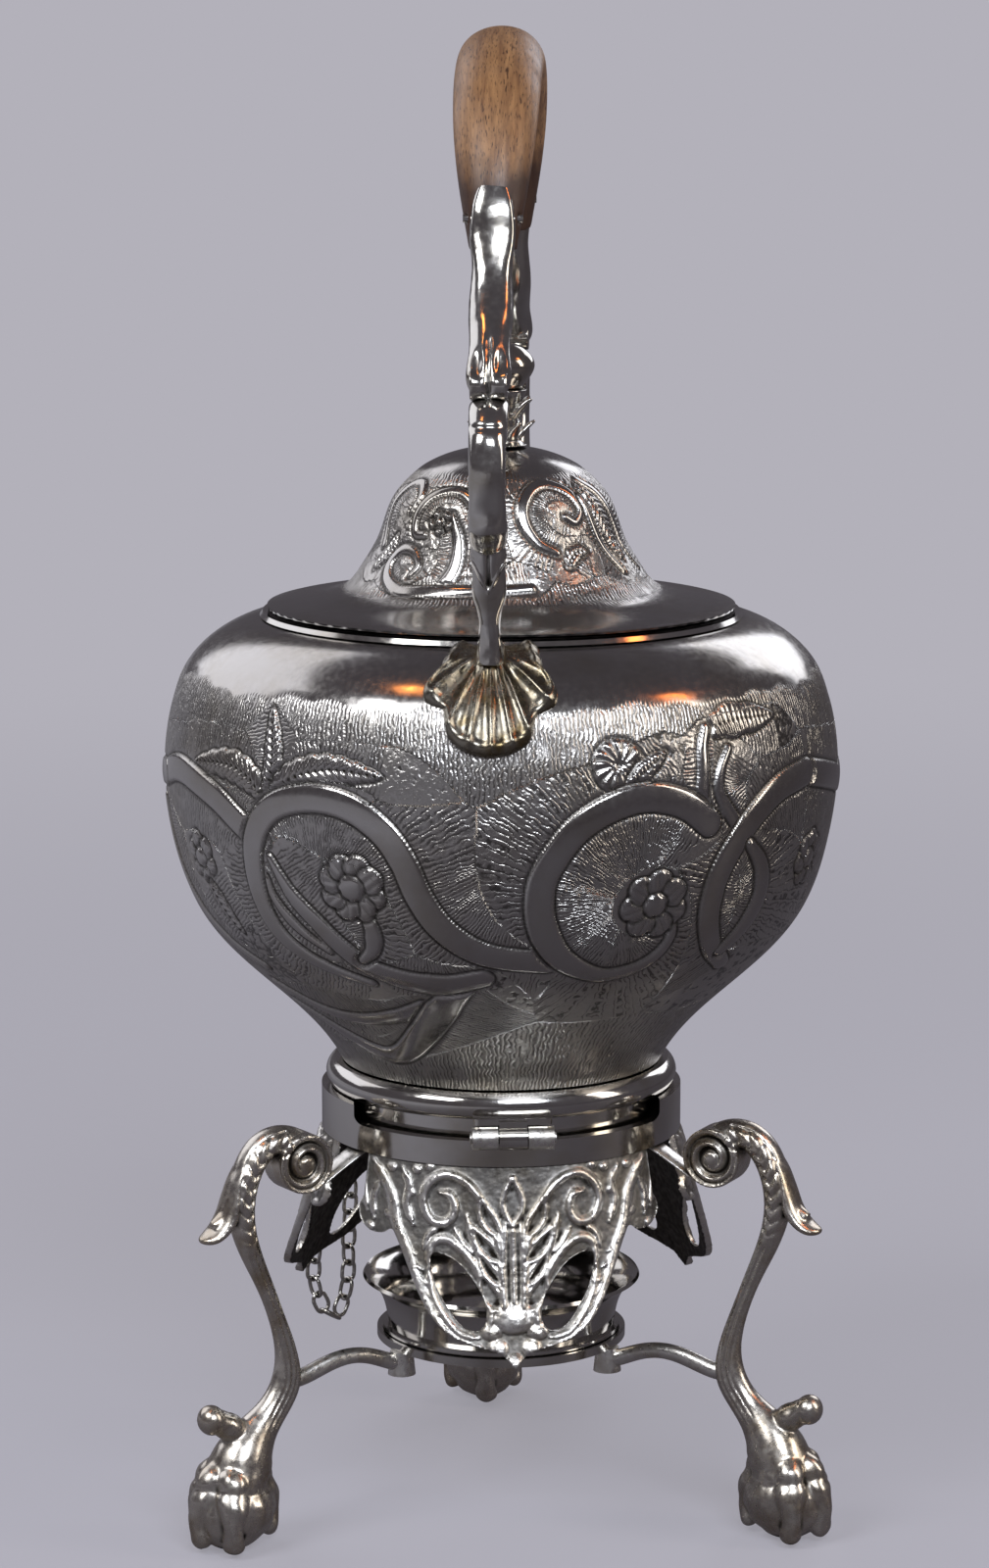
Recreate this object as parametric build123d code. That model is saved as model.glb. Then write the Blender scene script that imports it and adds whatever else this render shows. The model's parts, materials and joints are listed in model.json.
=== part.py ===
from build123d import *
import os
from math import cos, pi, radians, sin

# A silver kettle urn that tips on a three-legged stand, with a spirit burner under it.
# Sizes are in millimetres. Z is up, the floor is z = 0, and the kettle's axis is x = y = 0
# until the finished pieces are moved together at the end. The hinge is on the -Y side.

# Kettle body
shoulder_z = 251.5
neck_radius = 64.0
belly_radius = 93.6
belly_z = 210.0
groove_radius = 45.2
groove_z = 127.0
wall = 1.5
body_outline = [
    (neck_radius, shoulder_z),
    (76.5, 247.3),
    (86.5, 238.3),
    (92.4, 223.0),
    (belly_radius, belly_z),
    (91.4, 191.5),
    (84.2, 170.5),
    (67.0, 151.6),
    (50.5, 135.2),
    (groove_radius, groove_z),
]
lid_rim_radius = 64.7
lid_rim_z = 253.1
collar_radius = 59.5
flange_radius = 48.9
flange_bottom_z = 120.0
skirt_radius = 45.2
skirt_bottom_z = 109.5

# Chased pattern: scrolls left standing where the ground between them is beaten down
relief_depth = 0.6
relief_top_z = 237.5
relief_bottom_z = 133.0
pattern_turn = -93.4
scroll_half_width = 3.6
petal_share = 0.36

# Finial
calyx_bottom_z = 296.2
knob_radius = 9.1
knob_bottom_z = 313.0
knob_top_z = 325.8
stud_radius = 1.5

# Shell-shaped mounts at the feet of the handle
shell_root_z = 251.0

# Handle, in its own upright plane, turned a little from the hinge's plane
handle_turn = -5.6
grip_top_z = 410.8
grip_width = 23.3
grip_depth = 19.0
grip_end_out = 57.0
grip_end_z = 354.0
grip_pin_radius = 1.1

# Stand
ring_radius = 50.2
ring_wall = 3.0
ring_bottom_z = 107.5
ring_top_z = 119.7
ring_low_z = 114.6
ring_low_half_width = 42.0
apron_tip_radius = 66.0
apron_tip_z = 55.5
apron_wall = 1.9
leg_turns = (-150, -30, 90)
apron_turns = (-90, 30, 150)
scroll_out = 66.2
scroll_z = 105.6
scroll_radius = 8.3
scroll_width = 10.0
foot_out = 88.5
ball_radius = 10.5
ball_z = 10.2

# Hinge
hinge_out = 53.9
hinge_z = 116.5
knuckle_radius = 3.2
knuckle_length = 6.9
middle_length = 7.6
knuckle_gap = 0.3
hinge_pin_radius = 1.5
running_gap = 0.05

# Locking pin and its chain
lock_turn = 128.0
lock_z = 113.4
lock_pin_radius = 1.6
lock_travel = 5.0
keeper_radius = 3.4
keeper_out = 54.0
loop_length = 12.0
loop_height = 6.4
loop_wire = 1.4
chain_out = 62.9
chain_turn = 130.3
chain_end_turn = 141.5
chain_end_out = 54.2
chain_end_z = 105.0
chain_low_z = 38.6
link_length = 7.3
link_width = 5.7
link_wire = 1.1
link_gap = 0.45

# Burner
cradle_radius = 35.0
cradle_bore = 31.9
cradle_z = 46.5
cradle_height = 2.3
cup_rim_radius = 39.0
cup_rim_z = 63.8
cup_wall = 0.9

# Tap, on the side away from the hinge
tap_z = 168.0
tap_wall_out = 80.0
tap_plug_out = 110.0
tap_mouth_out = 127.0
tap_tube_radius = 4.6
tap_barrel_radius = 7.0
plug_top_radius = 4.6
plug_low_radius = 3.8


def turned(shape, degrees_about_z):
    """The shape turned about the upright axis."""
    return shape.rotate(Axis.Z, degrees_about_z)


def spun(face):
    """A half section in the XZ plane, turned into a round solid."""
    return revolve(face, Axis.Z)


def face_between(outer, inner):
    """The section between two open curves that run the same way."""
    start = Line(inner @ 0, outer @ 0)
    end = Line(outer @ 1, inner @ 1)
    return make_face([start, outer, end, inner])


def inset(outline, distance, stations=14):
    """A curve that runs at an even distance inside an outline given from the top down."""
    points = []
    for i in range(stations + 1):
        place = outline @ (i / stations)
        way = outline % (i / stations)
        points.append(place + Vector(way.Z, 0, -way.X) * distance)
    return Spline(*points)


def profile(points):
    """A smooth outline in the XZ plane through (radius, height) points."""
    return Spline(*[(r, 0, z) for r, z in points])


def shell_section(points, thickness):
    """A wall of even thickness inside a smooth outline."""
    outer = profile(points)
    return face_between(outer, inset(outer, thickness))


def oval(half_width, half_depth):
    """An oval section whose seam stays on one side, so that lofts do not twist."""
    eighth = pi / 4
    points = [(half_width * cos(i * eighth), half_depth * sin(i * eighth)) for i in range(8)]
    return make_face(Spline(*points, periodic=True))


def limb(stations):
    """A cast bar through (out, z, width, depth) stations in the XZ plane."""
    sections = []
    last = len(stations) - 1
    for i, (out, z, width, depth) in enumerate(stations):
        before = stations[max(i - 1, 0)]
        after = stations[min(i + 1, last)]
        way = Vector(after[0] - before[0], 0, after[1] - before[1])
        plane = Plane(origin=(out, 0, z), x_dir=(0, 1, 0), z_dir=way)
        sections.append(plane * oval(width / 2, depth / 2))
    return loft(sections)


def tube(radius, bottom_z, top_z):
    """An upright cylinder between two heights."""
    return Pos(0, 0, bottom_z) * Cylinder(radius, top_z - bottom_z, align=(Align.CENTER, Align.CENTER, Align.MIN))


def lying_tube(radius, start_out, end_out):
    """A cylinder along +X between two distances from the origin."""
    return Pos(start_out, 0, 0) * Rot(0, 90, 0) * Cylinder(
        radius, end_out - start_out, align=(Align.CENTER, Align.CENTER, Align.MIN)
    )


def ring_of(outer_radius, inner_radius, bottom_z, top_z):
    """A plain upright ring."""
    return tube(outer_radius, bottom_z, top_z) - tube(inner_radius, bottom_z - 1, top_z + 1)


# The kettle
def body_shell():
    shell = spun(shell_section(body_outline, wall))
    return shell - tap_bore() - beaten_ground()


def body_radius(height):
    """The kettle's outer radius at a height, found by halving the span of its outline."""
    outline = profile(body_outline)
    above, below = 0.0, 1.0
    for _ in range(20):
        middle = (above + below) / 2
        if (outline @ middle).Z > height:
            above = middle
        else:
            below = middle
    return (outline @ above).X


def ribbon(points, widths, facing):
    """A band along (angle, height) points, drawn flat as it is seen from the facing angle."""
    line = Spline(*[(body_radius(z) * sin(radians(angle - facing)), z) for angle, z in points])
    stations = 2 * len(points)
    left, right = [], []
    for i in range(stations + 1):
        part = i / stations
        span = part * (len(widths) - 1)
        before = min(int(span), len(widths) - 2)
        half = widths[before] + (widths[before + 1] - widths[before]) * (span - before)
        way = line % part
        across = Vector(-way.Y, way.X) * half
        left.append(line @ part + across)
        right.append(line @ part - across)
    near, far = Spline(*left), Spline(*right)
    return make_face([near, Line(near @ 1, far @ 1), far, Line(far @ 0, near @ 0)])


def rosette(height, petals, radius):
    """A flower's outline: round petals about a round middle."""
    petal_radius = radius * petal_share
    reach = radius - petal_radius
    flower = Pos(0, height) * Circle(reach)
    for i in range(petals):
        turn = 2 * pi * i / petals + 0.35
        flower += Pos(reach * cos(turn), height + reach * sin(turn)) * Circle(petal_radius)
    return flower


def standing(face, facing):
    """A flat outline cut straight out of the kettle's side, at an angle of the pattern and opposite it."""
    prism = extrude(Plane.XZ * face, belly_radius + 10)
    return [turned(prism, pattern_turn + 90 + facing), turned(prism, pattern_turn - 90 + facing)]


def beaten_ground():
    """The thin layer taken off between the scrolls, flowers and leaves."""
    outline = profile(body_outline)
    layer = spun(face_between(inset(outline, -1.0), inset(outline, relief_depth)))
    layer &= tube(belly_radius + 5, relief_bottom_z, relief_top_z)
    wide, slim = scroll_half_width, 1.4
    kept = []
    kept += standing(ribbon([
        (-27.0, 162.2), (-39.2, 168.8), (-45.7, 183.5), (-44.6, 201.6), (-36.4, 212.4),
        (-24.5, 211.6), (-16.0, 198.2), (-10.7, 181.3), (-2.0, 172.4), (8.2, 170.4),
    ], [slim, wide, wide, wide, wide], -19), -19)
    kept += standing(ribbon([
        (35.9, 206.4), (27.0, 214.4), (15.0, 210.6), (8.0, 197.0),
        (7.0, 181.5), (12.6, 168.8), (24.8, 166.6), (31.0, 176.0),
    ], [wide, wide, wide, slim], 20), 20)
    kept += standing(ribbon([
        (100.0, 210.2), (85.0, 207.4), (69.8, 212.1), (53.3, 212.8),
        (43.7, 202.8), (38.5, 187.6), (42.0, 170.2), (48.0, 164.0),
    ], [wide, wide, wide, slim], 66), 66)
    kept += standing(ribbon([
        (-82.0, 209.6), (-68.0, 213.6), (-54.8, 209.4), (-43.4, 200.2),
    ], [wide, wide], -63), -63)
    kept += standing(ribbon([
        (-41.6, 196.0), (-33.7, 179.4), (-25.2, 167.4), (-14.0, 163.0), (-3.5, 165.4),
    ], [1.0, 2.7, 4.0, 3.0], -22), -22)
    kept += standing(ribbon([
        (-62.0, 149.0), (-50.0, 140.4), (-38.0, 136.8), (-25.0, 141.0), (-14.0, 153.0), (-5.5, 164.2),
    ], [1.0, 3.0, 4.0, 2.4], -33), -33)
    kept += standing(ribbon([(-42.2, 212.0), (-50.0, 218.8), (-62.0, 217.8)], [1.0, 3.8, 0.6], -52), -52)
    kept += standing(ribbon([(-41.6, 213.0), (-40.6, 224.0), (-42.6, 235.0)], [1.0, 2.6, 0.5], -41), -41)
    kept += standing(ribbon([(-40.6, 212.5), (-31.0, 221.0), (-19.5, 220.6)], [1.0, 4.0, 0.6], -30), -30)
    kept += standing(ribbon([(34.2, 213.6), (35.0, 224.0), (44.0, 232.4), (54.0, 232.0)], [1.8, 1.8, 4.2, 0.6], 42), 42)
    kept += standing(rosette(190.1, 8, 9.6), -25.5)
    kept += standing(rosette(191.0, 6, 7.4), -62.5)
    kept += standing(rosette(185.3, 7, 9.8), 26.7)
    kept += standing(rosette(190.0, 7, 8.0), 66.0)
    kept += standing(Pos(0, 223.4) * Circle(7.0), 19.3)
    return layer - kept


def kettle_bottom():
    rim = groove_radius - wall - 0.1
    crown_z = groove_z + 2.5
    outer = ThreePointArc((0, 0, crown_z), (rim * 0.55, 0, crown_z - 0.6), (rim, 0, groove_z))
    lower = ThreePointArc((0, 0, crown_z - wall), (rim * 0.55, 0, crown_z - 0.6 - wall), (rim, 0, groove_z - wall))
    return spun(face_between(outer, lower))


def foot_flange():
    half_height = (groove_z - flange_bottom_z) / 2
    inner = skirt_radius - 1.6
    edge_radius = flange_radius - 2.2
    with_edge = Polyline(
        (inner + 0.3, 0, groove_z - wall - 0.1),
        (inner + 0.3, 0, groove_z),
        (edge_radius, 0, groove_z),
    )
    bead = ThreePointArc(
        (edge_radius, 0, groove_z),
        (flange_radius, 0, flange_bottom_z + half_height),
        (edge_radius + 0.9, 0, flange_bottom_z),
    )
    skirt = Polyline(
        (edge_radius + 0.9, 0, flange_bottom_z),
        (skirt_radius, 0, flange_bottom_z),
        (skirt_radius, 0, skirt_bottom_z),
        (inner, 0, skirt_bottom_z),
        (inner, 0, groove_z - wall - 0.1),
        (inner + 0.3, 0, groove_z - wall - 0.1),
    )
    flange = spun(make_face([with_edge, bead, skirt]))
    hole = Pos(0, 0, lock_z) * lying_tube(lock_pin_radius + 0.4, skirt_radius - 6, skirt_radius + 3)
    return flange - turned(hole, lock_turn)


def neck_ring():
    section = Polyline(
        (collar_radius + 0.4, 0, shoulder_z - 8),
        (collar_radius + 1.6, 0, shoulder_z - 8),
        (collar_radius + 1.6, 0, shoulder_z),
        (neck_radius + 2.4, 0, shoulder_z),
        (neck_radius + 1.6, 0, shoulder_z + 1.2),
        (collar_radius + 0.4, 0, shoulder_z + 1.2),
        close=True,
    )
    return spun(make_face(section))


def hinge_leaf():
    plate_bottom = hinge_z + knuckle_radius + knuckle_gap
    width = 2 * knuckle_length + middle_length + 2 * knuckle_gap - 0.8
    plate = Pos(0, -hinge_out, plate_bottom) * Box(
        width, 8.5, 1.7, align=(Align.CENTER, Align.MIN, Align.MIN)
    )
    plate = fillet(plate.edges().filter_by(Axis.Z).group_by(Axis.Y)[0], 1.6)
    knuckle = Pos(0, -hinge_out, hinge_z) * Rot(0, 90, 0) * Cylinder(knuckle_radius, middle_length)
    web = Pos(0, -hinge_out, hinge_z) * Box(
        middle_length, 2.4, knuckle_radius + 1.5, align=(Align.CENTER, Align.CENTER, Align.MIN)
    )
    bore = Pos(0, -hinge_out, hinge_z) * Rot(0, 90, 0) * Cylinder(hinge_pin_radius + running_gap, 3 * middle_length)
    core = tube(flange_radius - 2.5, flange_bottom_z - 2, groove_z + 2)
    return plate + knuckle + web - bore - core - foot_flange()


# Handle pieces stand in the XZ plane, with X pointing out of the kettle, and are turned into place
def bar_on_body(stations):
    """A bar that lies on the kettle, through (angle, height, lift, width, depth) stations."""
    places = []
    for angle, height, lift, width, depth in stations:
        out = body_radius(height) + lift
        places.append(Vector(out * cos(radians(angle)), out * sin(radians(angle)), height))
    sections = []
    last = len(stations) - 1
    for i, (angle, height, lift, width, depth) in enumerate(stations):
        way = places[min(i + 1, last)] - places[max(i - 1, 0)]
        outward = Vector(0.8 * cos(radians(angle)), 0.8 * sin(radians(angle)), 0.6)
        plane = Plane(origin=places[i], x_dir=way.cross(outward), z_dir=way)
        sections.append(plane * oval(width / 2, depth / 2))
    return loft(sections)


def shell_mount():
    """A scallop shell of five broad lobes, each with a flute down its middle and a rim that turns out."""
    mount = Pos(76.8, 0, 252.0) * Sphere(4.4)
    flutes = []
    for end_angle, end_z in ((0, 229.4), (-7.6, 234.6), (7.6, 234.6), (-12.6, 243.0), (12.6, 243.0)):
        drop = shell_root_z - end_z
        mount += bar_on_body([
            (0, shell_root_z, 0.0, 5.0, 4.4),
            (end_angle * 0.40, shell_root_z - drop * 0.28, 0.6, 7.6, 4.6),
            (end_angle * 0.75, shell_root_z - drop * 0.66, 0.9, 10.4, 5.4),
            (end_angle * 0.95, shell_root_z - drop * 0.93, 1.2, 11.4, 7.0),
            (end_angle, end_z, 1.2, 8.4, 5.6),
        ])
        flutes.append(bar_on_body([
            (end_angle * 0.35, shell_root_z - drop * 0.30, 3.6, 1.6, 1.4),
            (end_angle * 0.70, shell_root_z - drop * 0.62, 4.6, 5.2, 3.4),
            (end_angle * 0.93, shell_root_z - drop * 0.90, 6.0, 7.4, 4.2),
            (end_angle * 1.04, end_z - 1.6, 6.6, 8.0, 4.4),
        ]))
    return mount - flutes


def shell_mount_piece():
    return shell_mount() - body_core() - neck_core()


def body_core():
    """Everything inside the kettle's outer surface, to trim what is seated on it."""
    outline = profile(body_outline)
    closing = Polyline((groove_radius, 0, groove_z), (0, 0, groove_z), (0, 0, shoulder_z), (neck_radius, 0, shoulder_z))
    return spun(make_face([outline, closing]))


def neck_core():
    return tube(neck_radius + 2.4, shoulder_z - 1, shoulder_z + 3)


def lower_scroll():
    stem = limb([
        (76.8, 251.5, 6.0, 6.0),
        (77.6, 259.0, 5.4, 5.4),
        (80.6, 266.5, 8.6, 5.6),
        (84.0, 274.0, 12.5, 5.6),
        (86.2, 280.0, 9.0, 6.0),
    ])
    bow = limb([
        (85.2, 279.5, 8.0, 6.5),
        (89.6, 284.6, 10.2, 8.0),
        (94.2, 293.0, 9.4, 7.6),
        (95.0, 302.0, 9.4, 7.4),
        (91.0, 310.6, 9.8, 7.2),
        (83.6, 315.2, 10.2, 6.6),
        (77.4, 313.0, 9.0, 5.4),
    ])
    curl = Pos(78.6, 0, 310.6) * Rot(90, 0, 0) * Cylinder(4.6, 9.0)
    end_ball = Pos(86.0, 0, 284.4) * Sphere(5.0)
    return bow + stem + curl + end_ball


def upper_arm():
    return limb([
        (85.4, 319.6, 9.0, 5.6),
        (81.6, 326.4, 11.2, 8.4),
        (75.4, 332.6, 10.8, 8.6),
        (69.2, 339.2, 11.6, 9.0),
        (64.4, 347.4, 10.6, 8.0),
        (61.2, 356.6, 10.4, 6.6),
        (58.6, 365.6, 8.8, 5.0),
        (55.6, 373.4, 5.2, 3.0),
    ]) + Pos(84.2, 0, 321.4) * Rot(90, 0, 0) * Cylinder(4.2, 9.6)


def grip_stations():
    """Stations of the arched grip, from its near end to its far end."""
    crown_z = grip_top_z - grip_depth / 2
    near = [
        (-grip_end_out, grip_end_z, 12.4, 10.5),
        (-54.6, 365.0, 16.4, 13.0),
        (-48.4, 378.0, 20.4, 15.6),
        (-37.4, 389.6, 22.6, 17.6),
        (-20.6, 398.2, grip_width, 18.6),
    ]
    crown = [(0.0, crown_z, grip_width, grip_depth)]
    far = [(-out, z, width, depth) for out, z, width, depth in reversed(near)]
    return near + crown + far


def both_arms():
    arm = upper_arm()
    return arm + arm.rotate(Axis.Z, 180)


def wood_grip():
    grip = limb(grip_stations())
    pin_holes = grip_pins()
    return grip - both_arms() - pin_holes


def grip_pins():
    pin = Rot(90, 0, 0) * Cylinder(grip_pin_radius, 15.5)
    near = Pos(-57.4, 0, 362.0) * pin
    far = Pos(57.4, 0, 362.0) * pin
    return Compound(children=[near - both_arms(), far - both_arms()])


# The lid
def lid_shell():
    outline = [
        (stud_radius + 0.1, 297.6),
        (11.0, 296.4),
        (21.0, 292.4),
        (30.4, 282.8),
        (34.0, 273.0),
        (38.2, 265.6),
        (43.0, 259.6),
        (50.0, 256.8),
        (lid_rim_radius, lid_rim_z + 1.1),
    ]
    return spun(shell_section(outline, 1.1))


def lid_collar():
    return ring_of(collar_radius, collar_radius - 1.1, shoulder_z - 6.0, lid_rim_z + 0.1)


def finial_calyx():
    outline = Spline(
        (7.4, 0, calyx_bottom_z + 1.6),
        (4.2, 0, calyx_bottom_z + 4.6),
        (4.4, 0, calyx_bottom_z + 9.5),
        (7.0, 0, knob_bottom_z),
    )
    closing = Polyline(
        (7.0, 0, knob_bottom_z),
        (stud_radius, 0, knob_bottom_z),
        (stud_radius, 0, calyx_bottom_z + 1.6),
        (7.4, 0, calyx_bottom_z + 1.6),
    )
    calyx = spun(make_face([outline, closing]))
    for i in range(6):
        for start_turn, start_z in ((0, calyx_bottom_z + 3.0), (30, calyx_bottom_z + 9.3)):
            leaf = limb([(4.1, start_z, 4.4, 2.2), (6.8, start_z + 3.3, 3.6, 1.6), (9.2, start_z + 5.2, 1.2, 0.8)])
            calyx += turned(leaf, 60 * i + start_turn)
    calyx -= tube(stud_radius, calyx_bottom_z - 5, knob_bottom_z + 5)
    return calyx - tube(12, calyx_bottom_z - 5, calyx_bottom_z + 1.4) - tube(12, knob_bottom_z, knob_bottom_z + 9)


def finial_knob():
    middle_z = (knob_bottom_z + knob_top_z) / 2
    side = Spline(
        (0, 0, knob_top_z),
        (knob_radius * 0.72, 0, knob_top_z - 1.9),
        (knob_radius, 0, middle_z),
        (knob_radius * 0.66, 0, knob_bottom_z + 0.9),
        (3.4, 0, knob_bottom_z),
        tangents=((1, 0, 0), (-1, 0, 0)),
    )
    closing = Polyline((3.4, 0, knob_bottom_z), (0, 0, knob_bottom_z), (0, 0, knob_top_z))
    return spun(make_face([side, closing])) - tube(stud_radius, knob_bottom_z - 1, knob_bottom_z + 6)


def finial_stud():
    return tube(stud_radius, 290.0, knob_bottom_z + 6)


def finial_nut():
    nut = Pos(0, 0, 291.2) * extrude(RegularPolygon(4.2, 6), 3.4)
    wing = Pos(0, 0, 292.9) * Box(14, 1.8, 3.4)
    return nut + wing - tube(stud_radius, 285, 300)


# The tap stands in the XZ plane, with X pointing out of the kettle
def tap_bore():
    bore = Pos(0, 0, tap_z) * lying_tube(tap_tube_radius, tap_wall_out - 8, tap_wall_out + 12)
    return turned(bore, 90 + handle_turn)


def tap_flange():
    boss = Spline((tap_wall_out - 6, 12.5), (tap_wall_out + 6.5, 9.8), (tap_wall_out + 11, 6.4))
    ends = Polyline((tap_wall_out + 11, 6.4), (tap_wall_out + 11, 0), (tap_wall_out - 6, 0), (tap_wall_out - 6, 12.5))
    rosette = revolve(make_face([boss, ends]), Axis.X)
    rosette -= lying_tube(tap_tube_radius, tap_wall_out - 12, tap_wall_out + 14)
    return Pos(0, 0, tap_z) * rosette


def tap_body():
    shank = lying_tube(tap_tube_radius, tap_wall_out - 3.5, tap_plug_out)
    barrel_section = Polyline(
        (0, 0, -11.0),
        (tap_barrel_radius - 1.2, 0, -11.0),
        (tap_barrel_radius, 0, -8.0),
        (tap_barrel_radius, 0, 7.0),
        (tap_barrel_radius + 1.0, 0, 8.0),
        (tap_barrel_radius + 1.0, 0, 10.0),
        (0, 0, 10.0),
        close=True,
    )
    barrel = Pos(tap_plug_out, 0, 0) * spun(make_face(barrel_section))
    bend = 7.0
    path = Line((tap_plug_out, 0, 0), (tap_mouth_out - bend, 0, 0)) + RadiusArc(
        (tap_mouth_out - bend, 0, 0), (tap_mouth_out, 0, -bend), bend
    ) + Line((tap_mouth_out, 0, -bend), (tap_mouth_out, 0, -17.0))
    start = Plane(origin=(tap_plug_out, 0, 0), z_dir=(1, 0, 0))
    spout = sweep(start * Circle(tap_tube_radius), path=path)
    spout += Pos(tap_mouth_out, 0, -17.0) * Cylinder(tap_tube_radius + 0.9, 2.4)
    waterway = sweep(start * Circle(2.6), path=path)
    waterway += Pos(tap_mouth_out, 0, -18.0) * Cylinder(2.6, 6)
    waterway += lying_tube(2.6, tap_wall_out - 6, tap_plug_out)
    plug_bore = Pos(tap_plug_out, 0, -12.0) * Cone(
        plug_low_radius + running_gap, plug_top_radius + running_gap, 24, align=(Align.CENTER, Align.CENTER, Align.MIN)
    )
    return Pos(0, 0, tap_z) * (shank + barrel + spout - waterway - plug_bore)


def tap_plug():
    plug = Pos(tap_plug_out, 0, -12.0) * Cone(
        plug_low_radius, plug_top_radius, 24, align=(Align.CENTER, Align.CENTER, Align.MIN)
    )
    plug -= lying_tube(2.4, tap_plug_out - 10, tap_plug_out + 10)
    tail = Pos(tap_plug_out, 0, -15.5) * Cylinder(2.0, 7.0)
    stem = Pos(tap_plug_out, 0, 15.0) * Cylinder(2.4, 6.0)
    return Pos(0, 0, tap_z) * (plug + tail + stem)


def tap_key():
    """A flat key of two scrolls on the plug's stem, in line with the waterway when it is shut across it."""
    outline = SlotOverall(24, 13) - Pos(-6, 0) * Circle(3.4) - Pos(6, 0) * Circle(3.4)
    plate = Rot(90, 0, 0) * extrude(outline, 1.5, both=True)
    collar = Pos(0, 0, -6.6) * Cylinder(4.0, 3.0)
    key = Pos(tap_plug_out, 0, 26.0) * (plate.rotate(Axis.Z, 90) + collar)
    seat = Pos(tap_plug_out, 0, 15.0) * Cylinder(2.4, 6.0)
    return Pos(0, 0, tap_z) * (key - seat)


def tap_nut():
    nut = Pos(tap_plug_out, 0, -16.6) * extrude(RegularPolygon(4.6, 6), 3.0)
    return Pos(0, 0, tap_z) * (nut - Pos(tap_plug_out, 0, -16.0) * Cylinder(2.0, 12))


# The stand
def stand_ring():
    band = ring_of(ring_radius, ring_radius - ring_wall, ring_bottom_z, ring_top_z)
    window = Pos(0, -ring_radius, (ring_low_z + 130) / 2) * Box(2 * ring_low_half_width, 60, 130 - ring_low_z)
    window = fillet(window.edges().filter_by(Axis.Y).group_by(Axis.Z)[0], 2.4)
    bore = lying_tube(lock_pin_radius + running_gap, ring_radius - 8, ring_radius + 5)
    return band - window - turned(Pos(0, 0, lock_z) * bore, lock_turn)


def hinge_barrels():
    offset = (middle_length + knuckle_length) / 2 + knuckle_gap
    barrels = []
    for side in (-1, 1):
        barrel = Rot(0, 90, 0) * Cylinder(knuckle_radius, knuckle_length)
        saddle = Pos(0, 3.0, -0.8) * Box(knuckle_length, 5.0, 4.4)
        solid = Pos(side * offset, -hinge_out, hinge_z) * (barrel + saddle)
        barrels.append(solid - hinge_pin() - tube(ring_radius, ring_bottom_z, ring_top_z + 5))
    return Compound(children=barrels)


def hinge_pin():
    length = 2 * knuckle_length + middle_length + 2 * knuckle_gap + 1.2
    return Pos(0, -hinge_out, hinge_z) * Rot(0, 90, 0) * Cylinder(hinge_pin_radius, length)


def apron_outline():
    """Half of the pierced front, as seen from outside: x is across, y is height."""
    corner = Line((38.0, ring_bottom_z), (39.6, 95.0))
    lobe = ThreePointArc((39.6, 95.0), (37.4, 87.4), (32.4, 89.6))
    waist = Spline((32.4, 89.6), (29.2, 82.4), (26.4, 75.4), (22.6, 68.4), (17.2, 63.6), (10.4, 61.2), (3.4, 59.2))
    tip = Line((3.4, 59.2), (0, apron_tip_z))
    middle = Polyline((0, apron_tip_z), (0, ring_bottom_z), (38.0, ring_bottom_z))
    return make_face([corner, lobe, waist, tip, middle])


def apron():
    half = apron_outline()
    teardrop = make_face(Spline(
        (20.4, 84.4), (14.6, 82.0), (9.9, 76.4), (7.4, 69.6), (9.0, 65.2), (13.0, 65.4), (17.6, 70.2), (21.2, 77.0),
        periodic=True,
    ))
    half -= teardrop
    front = half + mirror(half, Plane.YZ)
    cutter = extrude(Plane.XZ * front, 80)
    outer = ThreePointArc(
        (ring_radius, 0, ring_bottom_z),
        (56.4, 0, 82.5),
        (apron_tip_radius, 0, apron_tip_z - 0.5),
    )
    inner = ThreePointArc(
        (ring_radius - apron_wall, 0, ring_bottom_z),
        (56.4 - apron_wall, 0, 82.5),
        (apron_tip_radius - apron_wall, 0, apron_tip_z - 0.5),
    )
    return spun(face_between(outer, inner)) & cutter


def leg():
    arch = limb([
        (64.6, 107.6, 6.0, 4.0),
        (70.6, 112.4, 8.2, 7.6),
        (78.4, 110.4, 9.0, 8.0),
        (83.2, 102.6, 9.2, 7.8),
        (84.4, 93.6, 8.8, 7.2),
        (82.6, 85.0, 7.0, 6.2),
        (77.4, 72.6, 5.0, 4.8),
        (73.0, 61.0, 5.0, 4.8),
        (70.6, 51.6, 6.2, 6.4),
        (70.9, 43.6, 7.2, 8.6),
        (75.2, 36.6, 8.0, 9.0),
        (80.4, 31.0, 11.2, 12.0),
        (84.6, 24.6, 16.4, 16.6),
        (87.2, 17.6, 19.6, 19.8),
    ])
    disc = Pos(scroll_out, 0, scroll_z) * Rot(90, 0, 0) * Cylinder(scroll_radius, scroll_width)
    channel_section = Circle(scroll_radius - 1.7) - Circle(scroll_radius - 4.4)
    for side in (-1, 1):
        cut = Rot(90, 0, 0) * extrude(channel_section, 1.2, both=True)
        disc -= Pos(scroll_out, side * scroll_width / 2, scroll_z) * cut
    leaf = limb([(84.6, 97.0, 5.0, 3.0), (88.6, 93.4, 6.4, 4.4), (93.4, 91.0, 3.4, 2.6)])
    spur = limb([(82.0, 30.5, 6.0, 6.6), (87.5, 33.6, 6.4, 6.2), (92.6, 36.2, 7.4, 7.2), (95.6, 37.6, 6.2, 6.0)])
    ball = Pos(foot_out, 0, ball_z) * Sphere(ball_radius)
    foot = ball + claws() - Pos(foot_out, 0, -10) * Box(60, 60, 20)
    return arch + disc + leaf + spur + foot


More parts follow.
